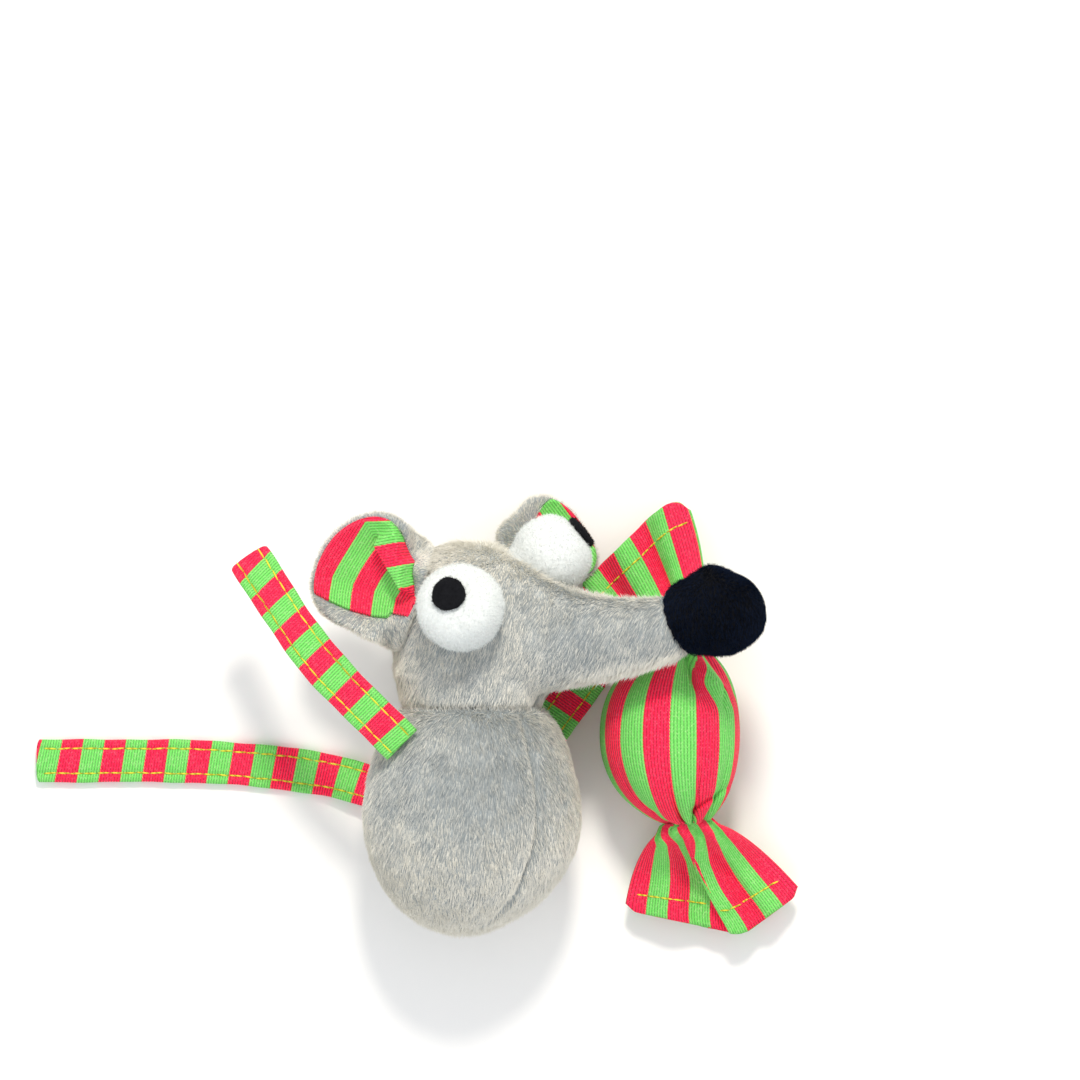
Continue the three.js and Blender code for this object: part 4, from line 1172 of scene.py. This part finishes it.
class MOUSE_OT_ears(bpy.types.Operator):
    """Sews each ear: a plush back with a rolled rim, and a striped lining pinched at the base"""
    bl_idname = "mouse.ears"
    bl_label = "Ears"

    def execute(self, context):
        for k, side in enumerate(EARS):
            self.add_back(side, k)
            self.add_lining(side, context.scene.mouse_cotton)
        return {"FINISHED"}

    def add_back(self, side, k):
        """Plush back that rolls over its rim to the lining's edge."""
        base, tip, _, facing = ear_frame(side)
        turn = round_turn(96, -np.pi)
        reach = ear_reach(side, turn)
        lined = lining_reach(side, turn)
        inside = np.linspace(0.06, 0.9, 15)
        out = np.concatenate((inside, (0.95, 0.985, 1.0, 0.985, 0.95), np.linspace(0.9, 0.06, 15)))
        sign = np.concatenate((-np.ones(15), (-0.86, -0.5, 0.0, 0.5, 0.86), np.ones(15)))[:, None]
        far = out[:, None] * reach
        half = np.where(sign > 0, 0.3 + 0.95 * ease(far / lined, 0.9, 1.06), (0.7 + 0.55 * out**5)[:, None])
        rings = ear_rings(side, turn, reach, out, sign * half)
        rings = pushed(rings, facing, 0.2 * lumps(rings, 5, 9 + k))
        back = add_closed(f"{side}_ear_plush", rings, "grey plush backing")
        part = points_of(back.data) / MM
        bare = np.append(((far < lined - 0.3) & (sign > 0)).ravel(), (False, False))
        bare |= np.linalg.norm(part - HEAD_CENTRE, axis=1) < HEAD_RADIUS
        outward = unit(part - (base + EAR_MIDDLE * tip))
        add_pile(f"{side}_ear_pile", back, outward, f"{side}_ear", "plush", "grey acrylic pile", EAR_SEED + k,
                 np.where(bare, 0.0, 1.0), **EAR_PILE)
        settle(back, f"{side}_ear", "plush", f"{side}_ear_back")

    def add_lining(self, side, cotton):
        """Striped lining, sewn down round its edge."""
        facing = ear_frame(side)[3]
        turn = round_turn(180, -np.pi)
        out = np.linspace(0.01, 1, 64)
        inner = 1 - ease(out, 0.93, 1.0)[:, None]
        lift = 0.75 + 0.3 * out[:, None]**5 + inner
        points = ear_rings(side, turn, lining_reach(side, turn), out, lift).reshape(-1, 3)
        bands, along = (values / (cotton.band / MM) for values in lining_bands(side, points[:, :2]))
        if side == "right":
            points = pinched(points, facing, np.repeat(inner, len(turn), 1).ravel())
        else:
            bands = bands + 1.0
        points = pushed(points, facing, 0.1 * lumps(points, 3.0, 15))
        faces, _ = grid_faces(len(out), len(turn), wrap=True)
        faces.append(list(range(len(turn) - 1, -1, -1)))
        pick = np.concatenate(faces)
        lining = add_object(f"{side}_ear_cloth", points, faces, "striped cotton jersey",
                            np.stack((bands[pick], along[pick]), 1))
        face_along(lining, facing)
        thicken(lining, cotton.thickness)
        settle(lining, f"{side}_ear", "striped_cotton", f"{side}_ear_lining")


# Strips: roots are a height on the body and an angle round it
ARM_ROOT = (12.5, -43.0)
ARM_REACH = np.array((-28.0, 34.1, -8.0))
ARM_BOW = np.array((-1.5, -1.1, 2.4))
LEFT_ARM_ROOT = (12.9, 137.0)
LEFT_HAND = np.array((33.2692, 42.4054, 3.05))
LEFT_OVERLAP = 7.5
TAIL_ROOT = (3.0, 218.0)
TAIL_RISE = 6.7
TAIL_REACH = 66.8
STRIP_SIDE = 37
STRIP_STEP = 0.5
STITCH_START = 1.2
STITCH_LIFT = 0.07


def strip_root(height, angle):
    """Root of a strip on the body's skin, and the way that its cloth faces there."""
    half = BODY_LOWER if height < 0 else BODY_UPPER
    spread = BODY_RADIUS * math.sqrt(1 - (height / half)**2)
    a = math.radians(angle)
    point = np.array((math.sin(a) * spread, height, AXIS_Z + math.cos(a) * spread))
    normal = unit((math.sin(a), (BODY_RADIUS / half)**2 * height / spread, math.cos(a)))
    return point + normal * (GAP + STRIP_THICKNESS / 2), normal if normal[2] > 0 else -normal


class MOUSE_OT_strips(bpy.types.Operator):
    """Sews the arms and the tail: flat tubes of striped cotton, topstitched along both edges"""
    bl_idname = "mouse.strips"
    bl_label = "Arms and tail"

    def execute(self, context):
        root, up = strip_root(*ARM_ROOT)
        end = root + ARM_REACH
        path = (root, (root + end) / 2 + ARM_BOW, end)
        self.add_strip("right_arm", path, up, tip_band=1.65, skews=(-0.1, 0.27), stop=0.6)
        root, up = strip_root(*LEFT_ARM_ROOT)
        way = unit((LEFT_HAND - root) * np.array((1, 1, 0)))
        path = (root, (root + LEFT_HAND) / 2, LEFT_HAND, LEFT_HAND + way * LEFT_OVERLAP)
        self.add_strip("left_arm", path, up, tip_band=0.3, skews=(0.0, 0.0), stop=9.0)
        root, up = strip_root(*TAIL_ROOT)
        low = STRIP_THICKNESS / 2 + 0.2
        knots = ((7, 0.35, (root[2] + low) / 2), (14, 0.62, low), (TAIL_REACH / 2, 0.95, low),
                 (TAIL_REACH, 1, low))
        path = (root, *((root[0] - out, TAIL_ROOT[0] + TAIL_RISE * share, z) for out, share, z in knots))
        self.add_strip("tail", path, up, tip_band=1.0, skews=(0.0, -0.2), stop=2.2)
        return {"FINISHED"}

    def add_strip(self, name, path, root_up, tip_band, skews, stop):
        """One strip; skews lean the bands at its root and tip, and its stitches stop before the tip."""
        cotton = bpy.context.scene.mouse_cotton
        half_width = STRIP_WIDTH / 2
        _, length = catmull(path, 10)
        rows = int(length / STRIP_STEP)
        centres, length = catmull(path, rows)
        ways = unit(np.gradient(centres, axis=0))
        share = np.linspace(0, 1, rows)
        level = ease(share, 0, 0.5)[:, None]
        across = unit(np.cross(root_up * (1 - level) + UP * level, ways))
        up = np.cross(ways, across)
        top = np.linspace(0, np.pi, STRIP_SIDE)
        turn = np.concatenate((top, np.pi + top[1:-1]))
        count = len(turn)
        a = np.cos(turn)
        face = np.sign(np.sin(turn))
        face[np.abs(np.sin(turn)) < 1e-6] = 0
        line = 1 - cotton.margin / MM / half_width
        sewn = 0.3 * bump((np.abs(a) - line) * half_width, 0.42)
        pillow = 0.14 * np.maximum(0, 1 - (a / line)**2)
        edge = np.sqrt(np.maximum(0, 1 - np.abs(a)**9))
        body = STRIP_THICKNESS / 2 * edge - sewn * edge + pillow
        run = share * length
        to_tip = length - run
        ripple = 0.1 * np.cos(run[:, None] * 2 * np.pi / (cotton.stitch / MM) + 2.0 * np.sign(a))
        ripple = ripple * ease(np.abs(a), 0.5, 0.9)
        wide = half_width * (1 + 0.018 * np.sin(run / 3.1 + 1) + 0.012 * np.sin(run / 1.3))
        corner = 0.5 * np.abs(a)**6 * bump(to_tip, 0.9)[:, None]
        loops = []
        for inset in (0.0, cotton.thickness / MM):
            reach = a * (wide[:, None] - inset)
            height = face * np.maximum(body - inset, 0.16 * edge) + ripple * edge * (inset == 0)
            grid = centres[:, None] + reach[..., None] * across[:, None] + height[..., None] * up[:, None]
            loops.append(grid - ways[:, None] * corner[..., None])
        points = np.concatenate([g.reshape(-1, 3) for g in loops])
        faces, places = self.strip_faces(rows, count)
        band = cotton.band / MM
        a_of = np.append(a, a[0])
        skew = skews[0] + (skews[1] - skews[0]) * share
        at, column = places.T
        bands = tip_band - to_tip[at] / band + a_of[column] * half_width / band * skew[at]
        standing = np.append(face * body, face[0] * body[0])
        round_way = np.append(0, np.cumsum(np.hypot(np.diff(a_of) * half_width, np.diff(standing))))
        uv = np.stack((bands, round_way[column] / band), 1)
        strip = face_out(add_object(f"{name}_cloth", points, faces, "striped cotton jersey", uv))
        settle(strip, name, "striped_cotton", f"{name}_strip")
        keep = (run > STITCH_START) & (to_tip > stop)
        sides = [np.argmin(np.abs(a[:STRIP_SIDE] - way * line)) for way in (1, -1)]
        lines = [loops[0][keep, column if sign > 0 else count - column] + up[keep] * sign * STITCH_LIFT
                 for sign in (1, -1) for column in sides]
        stitches = add_stitches(f"{name}_topstitch", lines, name)

    def strip_faces(self, rows, count):
        """Faces of a tube's outer and inner loops and of its open ends, with each corner's row and column."""
        faces, places = grid_faces(rows, count, wrap=True)
        inner = [[i + rows * count for i in reversed(f)] for f in faces]
        inner_places = places.reshape(-1, 4, 2)[:, ::-1].reshape(-1, 2)
        ends, end_places = [], []
        for row, order in ((0, 1), (rows - 1, -1)):
            for j in range(count):
                n = (j + 1) % count
                quad = [row * count + j, row * count + n, (rows + row) * count + n, (rows + row) * count + j]
                ends.append(quad[::order])
                end_places.extend([(row, j), (row, j + 1), (row, j + 1), (row, j)][::order])
        return faces + inner + ends, np.concatenate((places, inner_places, np.array(end_places)))


# Sweet: each frill's way out, its hem's span and outline, how far it sags and shifts, where its hem is
# stitched, and the band counts at the two edges of its front
UPPER_FRILL = {
    "axis": (-10.0, 17.6, 0.0), "across": (19.4, 15.8, 0.0),
    "hem": ((-1.0, 21.0), (0.55, 22.7), (0.85, 22.2), (1.0, 19.8)),
    "drop": 7.0, "shift": 1.1, "stitch": 0.8, "edges": (-2.2, 4.06),
}
LOWER_FRILL = {
    "axis": (3.7, -14.5, 0.0), "across": (31.1, 5.5, 0.0),
    "hem": ((-1.0, 13.6), (0.24, 21.8), (1.0, 16.0)),
    "drop": 7.6, "shift": 1.3, "stitch": 0.77, "edges": (-4.9, 3.97),
}
BAND_TURN = math.radians(22.5)
BANDS_ROUND = 16
WRAP_NECK = 1.2
WRAP_NECK_RADIUS = 2.9
WRAP_COLUMNS = 240
FRILL_ROWS = 34
BALL_ROWS = 64
HEM_LIFT = 0.06
HEM_SKIP = 8
TIE_TURNS = 2
TIE_RADIUS = 0.22


def softened(spot, step, knots, values):
    """Straight lines between knots, with their corners rounded over a few steps."""
    return np.mean([np.interp(spot + k * step, knots, values) for k in (-2, -1, 0, 1, 2)], axis=0)


def upper_pleats(spot, share):
    """Side, height and lap of the upper frill's cloth: soft waves."""
    side = spot + 0.2 * np.sin(7 * spot + 1) * share * (1 - share)
    return side, 1.3 * np.cos(np.pi * 2.5 * (spot + 1)) * share**0.6, np.zeros_like(spot)


def lower_pleats(spot, share):
    """Side, height and lap of the lower frill's cloth: one pleat laid over its left neighbour, and waves."""
    at = -0.3 + 0.37 * share**0.7
    wide = 0.22 * ease(share, 0.08, 0.4) * (1 - 0.86 * ease(share, 0.5, 1.0))
    length = 2 + 2 * wide
    under = 2 * (at + wide + 1) / length - 1
    over = 2 * (at + 2 * wide + 1) / length - 1
    side = softened(spot, 0.012, (-1, under, over, 1), (-1, at + wide, at, 1))
    laid = 2.8 * ease(spot, under - 0.03, over + 0.03) * bump(np.maximum(side - at, 0), 0.42)
    waves = (2.4 * bump(side - (0.46 + 0.2 * share), 0.16) - 1.4 * bump(side - (0.3 + 0.16 * share), 0.09)
             + 1.8 * bump(side + 0.55, 0.2) - 1.3 * bump(side + 0.22, 0.12))
    fall = share**0.4 * (1 - 0.3 * ease(share, 0.6, 1.0))
    return side, (waves - 0.9) * fall, laid * fall


def frill_row(tie, frill, share, turn, pleats):
    """Points of a frill's loop at a share of the way from its neck to its hem."""
    axis, across = unit(frill["axis"]), unit(frill["across"])
    front = turn <= np.pi
    even = np.where(front, 2 * turn / np.pi - 1, 3 - 2 * turn / np.pi)
    opened = ease(share, 0, 0.2)
    spot = (1 - opened) * -np.cos(turn) + opened * even
    side, wave, laid = pleats(spot, share)
    side = np.where(front, side, spot)
    hem_half = np.linalg.norm(frill["across"]) / 2
    half_width = WRAP_NECK_RADIUS + (hem_half - WRAP_NECK_RADIUS) * share**FRILL_FLARE
    half_thick = WRAP_NECK_RADIUS + (0.75 - WRAP_NECK_RADIUS) * math.sqrt(share)
    power = 2 + 8 * ease(share, 0, 0.6)
    layer = np.sign(np.sin(turn)) * np.sqrt(np.maximum(0, 1 - np.abs(spot)**power))
    gather = np.abs(np.cos(4.5 * turn + 0.8 * np.sin(2 * turn)))
    drawn = 2.2 * (gather - 0.6) * math.exp(-share / 0.28) * min(1.0, 9 * share + 0.2)
    lips = 1.2 * gather * math.exp(-((share - 0.02) / 0.03)**2)
    start = tie + axis * WRAP_NECK / 2 + across * frill["shift"] * share
    sag = frill["drop"] * ease(share, 0, FRILL_SLOPE)
    out = softened(spot, 0.05, *zip(*frill["hem"])) * share - lips
    out = out - 1.5 * share * ease(np.abs(spot), 0.87, 1.0)**2
    height = layer * (half_thick + drawn) + wave + np.where(front, laid, 0) - sag
    return start + out[:, None] * axis + (side * half_width)[:, None] * across + height[:, None] * UP


# Folds of the ball at its ties, in the frame's X and Y, each with its height, half width and lower lip:
# two that run down from the upper tie and one that laps over the lower tie
BALL_FOLDS = (
    ((39.4, 29.2), (41.0, 21.6), -1.7, 0.6, 0.0),
    ((39.6, 29.6), (47.2, 20.4), 1.5, 1.0, 0.0),
    ((40.3, 1.0), (48.2, 6.2), -2.0, 0.4, 0.5),
)


def ball_folds(points):
    """How far each point of the ball's front stands out because of its folds."""
    height = np.zeros(len(points))
    for start, end, rise, half, lip in BALL_FOLDS:
        span = np.subtract(end, start)
        way = unit(span)
        run = (points[:, :2] - start) @ way
        off = (points[:, :2] - start) @ left_of(way)
        reach = np.linalg.norm(span)
        fade = ease(run, -1.5, 0.5) * ease(reach - run, 0, 0.4 * reach)
        height += fade * (rise * bump(off, half) + lip * ease(-off, 0, 0.7) * bump(off, 2.2))
    return height * ease(points[:, 2], CANDY_Z - 3, CANDY_Z + 2)


def ball_row(share, turn, gathers):
    """Points of the ball's loop at a share of the way from the upper to the lower tie."""
    upper = share < 0.5
    height = UPPER_TIE[1] - WRAP_NECK / 2 - (UPPER_TIE[1] - LOWER_TIE[1] - WRAP_NECK) * share
    from_middle = abs(2 * share - 1)
    near_end = 1 - from_middle
    rounding = math.sqrt(max(0.0, 1 - from_middle**(2.3 if upper else 2.05)))
    radius = WRAP_NECK_RADIUS + (CANDY_RADIUS - WRAP_NECK_RADIUS) * rounding
    phase = 0.4 if upper else 1.9
    crease = 1 - np.abs(np.cos(gathers / 2 * turn + phase + 0.9 * np.sin(2 * turn + phase)))**0.6
    uneven = 0.75 + 0.45 * np.cos(turn - 2.2)
    depth = min(3.2 * math.exp(-near_end / 0.33), 0.5 * (radius - 1.2))
    r = radius - depth * crease * uneven
    centre = np.array((CANDY_X - CANDY_BULGE * rounding, height, CANDY_Z))
    lip = 1.1 * math.exp(-near_end / 0.05) * (1 - crease) * np.sign(0.5 - share)
    points = centre + np.stack((-r * np.cos(turn), lip, r * np.sin(turn)), 1)
    stands = np.maximum(ball_folds(points), -0.45 * (r - 1.2))
    sideways = 1.0 if upper else 0.15
    ways = np.stack((-sideways * np.cos(turn), np.zeros_like(turn), np.sin(turn)), 1)
    return pushed(points, ways, stands)


def ball_counts(plain, share):
    """Band counts round the ball: at its ties the front bands stay wide and their neighbours fold away."""
    near_end = 1 - abs(2 * share - 1)
    slow = 1 - (0.25 if share < 0.5 else 0.5) * math.exp(-near_end / 0.15)
    front = np.minimum(np.abs(plain) / 4, 1)
    counts = plain * (slow + (1 - slow) * front**2)
    height = UPPER_TIE[1] - (UPPER_TIE[1] - LOWER_TIE[1]) * share
    taken = np.clip((counts - 1) / 3.5, 0, 1)
    folded = taken**(1 - 0.45 * ease(height, 18.5, 25.0)) - taken
    return counts + 3.5 * folded


def frill_counts(wide, plain, edges, share):
    """Band counts round a frill's loop: even round the neck, and as the flat frill shows them at its hem."""
    low, high = edges
    front = low + (high - low) * wide / np.pi
    back = high + (BANDS_ROUND + low - high) * (wide - np.pi) / np.pi
    blend = ease(share, 0, 0.2)
    return (1 - blend) * plain + blend * np.where(wide <= np.pi, front, back)


class MOUSE_OT_sweet(bpy.types.Operator):
    """Sews the sweet: one striped tube, a stuffed ball between two gathered frills, tied with thread"""
    bl_idname = "mouse.sweet"
    bl_label = "Sweet"

    def execute(self, context):
        cotton = context.scene.mouse_cotton
        turn = round_turn(WRAP_COLUMNS)
        frill_shares = np.linspace(0, 1, FRILL_ROWS)**1.25
        ball_shares = (1 - np.cos(np.linspace(0, np.pi, BALL_ROWS))) / 2
        wide = np.append(turn, 2 * np.pi)
        plain = (wide - np.pi / 2) / BAND_TURN
        rows, counts = [], []

        def add_frill(tie, frill, shares, pleats):
            for share in shares:
                rows.append(frill_row(tie, frill, share, turn, pleats))
                counts.append(frill_counts(wide, plain, frill["edges"], share))

        add_frill(UPPER_TIE, UPPER_FRILL, frill_shares[::-1], upper_pleats)
        for share in ball_shares[1:-1]:
            rows.append(ball_row(share, turn, cotton.gathers))
            counts.append(ball_counts(plain, share))
        add_frill(LOWER_TIE, LOWER_FRILL, frill_shares, lower_pleats)
        grid = np.array(rows)
        grid = pushed(grid, UP, 0.15 * lumps(grid, 6, 21))
        run = np.append(0, np.cumsum(np.linalg.norm(np.diff(grid, axis=0), axis=2).mean(1)))
        faces, places = grid_faces(len(grid), WRAP_COLUMNS, wrap=True)
        at, column = places.T
        uv = np.stack((np.array(counts)[at, column], run[at] / (cotton.band / MM)), 1)
        wrapper = add_object("sweet_wrapper", grid.reshape(-1, 3), faces, "striped cotton jersey", uv)
        ball = grid[FRILL_ROWS:-FRILL_ROWS]
        out = (ball - ball.mean(axis=(0, 1))).reshape(-1, 3)
        first = FRILL_ROWS * WRAP_COLUMNS
        face_along(wrapper, out, slice(first, first + len(out)))
        normals = points_of(wrapper.data, "normal").reshape(grid.shape)
        thicken(wrapper, cotton.thickness)
        settle(wrapper, "candy", "striped_cotton", "candy_wrapper")
        lines = []
        last = FRILL_ROWS - 1
        half = WRAP_COLUMNS // 2
        upper, lower = (
            int(np.argmin(np.abs(frill_shares - f["stitch"]))) for f in (UPPER_FRILL, LOWER_FRILL))
        for row in (last - upper, len(grid) - 1 - last + lower):
            loop = grid[row] + normals[row] * HEM_LIFT
            lines.extend((loop[HEM_SKIP:half - HEM_SKIP], loop[half + HEM_SKIP:-HEM_SKIP]))
        hems = add_stitches("sweet_hem_stitch", lines, "candy")
        ties = (("upper", UPPER_TIE, UPPER_FRILL, 1), ("lower", LOWER_TIE, LOWER_FRILL, -1))
        for name, tie, frill, sign in ties:
            self.add_tie(name, tie, unit(unit(frill["axis"]) * sign + np.array((0, 1.0, 0))))
        return {"FINISHED"}

    def add_tie(self, name, tie, axis):
        """Thread wound twice round a neck."""
        along = np.linspace(0, 2 * np.pi * TIE_TURNS, TIE_TURNS * 30)
        across = unit(np.cross(UP, axis))
        rim = circle(along, across, np.cross(axis, across))
        path = tie + rim * (WRAP_NECK_RADIUS - 0.1) + axis * np.linspace(-0.25, 0.25, len(along))[:, None]
        rings = path[:, None] + TIE_RADIUS * circle(round_turn(8), rim[:, None], axis)
        thread = add_closed(f"{name}_tie_thread", rings, "green thread")
        settle(thread, "candy", "thread", f"candy_{name}_tie")


# Fill
WADS = {
    "body_front_stuffing": "torso", "body_back_stuffing": "torso", "head_stuffing": "head",
    "nose_stuffing": "head", "right_eye_stuffing": "head", "left_eye_stuffing": "head",
    "candy_stuffing": "candy",
}


class MOUSE_OT_fill(bpy.types.Operator):
    """Fills the toy: teased wads of fibre, and the muslin pouch of catnip"""
    bl_idname = "mouse.fill"
    bl_label = "Fill"

    def execute(self, context):
        for k, (node, body) in enumerate(WADS.items()):
            wad = link_object(f"{node}_wad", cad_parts[node].data.copy())
            remeshed(face_out(wad), 1.0, 4)
            wad.data.materials.clear()
            wad.data.materials.append(material_named("polyester fibre fill"))
            wad.data.shade_smooth()
            points = points_of(wad.data) / MM
            teased = 0.35 * lumps(points, 2.2, 31 + k) + 0.25 * lumps(points, 6, 41 + k) - 0.85
            move_points(wad.data, pushed(points, points_of(wad.data, "normal"), teased) * MM)
            settle(wad, body, "fibre_fill", node)
        self.add_pouch()
        return {"FINISHED"}

    def add_pouch(self):
        """Two muslin rounds sewn at the edge over a spoonful of dried leaf."""
        low, high = (np.array(corner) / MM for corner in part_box("catnip_pouch"))
        middle, half = (low + high) / 2, (high - low) / 2
        turn = round_turn(48)
        out = np.concatenate((np.linspace(0.05, 1, 14), np.linspace(1, 0.05, 14)))
        sign = np.repeat((1.0, -1.0), 14)
        swell = np.sqrt(np.maximum(0, 1 - (out / 0.92)**2)) * half[2] + 0.25
        edge = out[:, None] * (1 - 0.02 * (1 + np.cos(14 * turn)))
        z = np.repeat((sign * swell)[:, None], len(turn), 1)
        rings = middle + np.stack((edge * half[0] * np.cos(turn), edge * half[1] * np.sin(turn), z), 2)
        rings[..., 2] += 0.2 * lumps(rings, 2.5, 51) * sign[:, None]
        pouch = add_closed("catnip_bag", rings, "catnip muslin")
        settle(pouch, "torso", "catnip", "catnip_pouch")


# Stage: the lights' places and sizes are in metres, the rest in millimetres
FLOOR_HALF = 1500.0
FLOOR_LEVEL = -0.25
LIGHT_AIM = (12.0, 20.0, 10.0)
KEY_PLACE = (0.06, 0.68, 0.85)
KEY_SIZE = 0.2
FILL_PLACE = (-0.35, -0.55, 0.8)
FILL_SIZE = 0.8
VIEW_MIDDLE = (12.36, 50.0)
VIEW_LEVEL = 16.0
SENSOR = 36.0


class MOUSE_OT_stage(bpy.types.Operator):
    """Lays the pale floor, sets soft studio light and puts the camera straight above"""
    bl_idname = "mouse.stage"
    bl_label = "Stage"

    def execute(self, context):
        scene = context.scene
        stage = scene.mouse_stage
        scene.view_settings.view_transform = "Standard"
        signs = ((-1, -1), (1, -1), (1, 1), (-1, 1))
        corners = [(x * FLOOR_HALF, y * FLOOR_HALF, FLOOR_LEVEL) for x, y in signs]
        floor = add_object("floor", corners, [[0, 1, 2, 3]], "white paper")
        room = bpy.data.worlds.new("white room")
        room.use_nodes = True
        room.node_tree.nodes["Background"].inputs["Color"].default_value = linear("FBFCFF")
        room.node_tree.nodes["Background"].inputs["Strength"].default_value = stage.sky
        scene.world = room
        self.add_light("key", KEY_PLACE, KEY_SIZE, stage.key, linear("FFF8EE"))
        self.add_light("fill", FILL_PLACE, FILL_SIZE, stage.fill, linear("F6F9FF"))
        lens = bpy.data.cameras.new("camera")
        lens.sensor_width = SENSOR
        lens.lens = SENSOR * (stage.distance - VIEW_LEVEL * MM) / stage.view_width
        lens.clip_end = 20.0
        scene.camera = link_object("camera", lens)
        scene.camera.location = (VIEW_MIDDLE[0] * MM, VIEW_MIDDLE[1] * MM, stage.distance)
        return {"FINISHED"}

    def add_light(self, name, place, size, power, colour):
        light = bpy.data.lights.new(name, "AREA")
        light.shape = "DISK"
        light.size = size
        light.energy = power
        light.color = colour[:3]
        lamp = link_object(name, light)
        lamp.location = place
        lamp.rotation_euler = (Vector(LIGHT_AIM) * MM - Vector(place)).to_track_quat("-Z", "Y").to_euler()


class MOUSE_PT_sewing(bpy.types.Panel):
    """Lists the steps that sew the toy and set its stage"""
    bl_label = "Catnip mouse"
    bl_idname = "MOUSE_PT_sewing"
    bl_space_type = "VIEW_3D"
    bl_region_type = "UI"
    bl_category = "Mouse"

    def draw(self, context):
        for step in STEPS:
            self.layout.operator(step.bl_idname)
        for name in GROUPS:
            settings = getattr(context.scene, name)
            box = self.layout.box()
            for key in settings.__annotations__:
                box.prop(settings, key)


GROUPS = {
    "mouse_plush": MousePlush, "mouse_felt": MouseFelt, "mouse_cotton": MouseCotton,
    "mouse_stage": MouseStage,
}
STEPS = (
    MOUSE_OT_stage, MOUSE_OT_body, MOUSE_OT_head, MOUSE_OT_nose, MOUSE_OT_eyes, MOUSE_OT_ears,
    MOUSE_OT_strips, MOUSE_OT_sweet, MOUSE_OT_fill,
)


def register():
    for group in GROUPS.values():
        bpy.utils.register_class(group)
    for name, group in GROUPS.items():
        setattr(bpy.types.Scene, name, PointerProperty(type=group))
    for step in (*STEPS, MOUSE_PT_sewing):
        bpy.utils.register_class(step)


def unregister():
    for step in (*STEPS, MOUSE_PT_sewing):
        bpy.utils.unregister_class(step)
    for name, group in GROUPS.items():
        delattr(bpy.types.Scene, name)
        bpy.utils.unregister_class(group)


def main():
    register()
    bpy.ops.mouse.stage()
    bpy.ops.mouse.body()
    bpy.ops.mouse.head()
    bpy.ops.mouse.nose()
    bpy.ops.mouse.eyes()
    bpy.ops.mouse.ears()
    bpy.ops.mouse.strips()
    bpy.ops.mouse.sweet()
    bpy.ops.mouse.fill()
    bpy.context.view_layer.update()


if __name__ == "__main__":
    main()
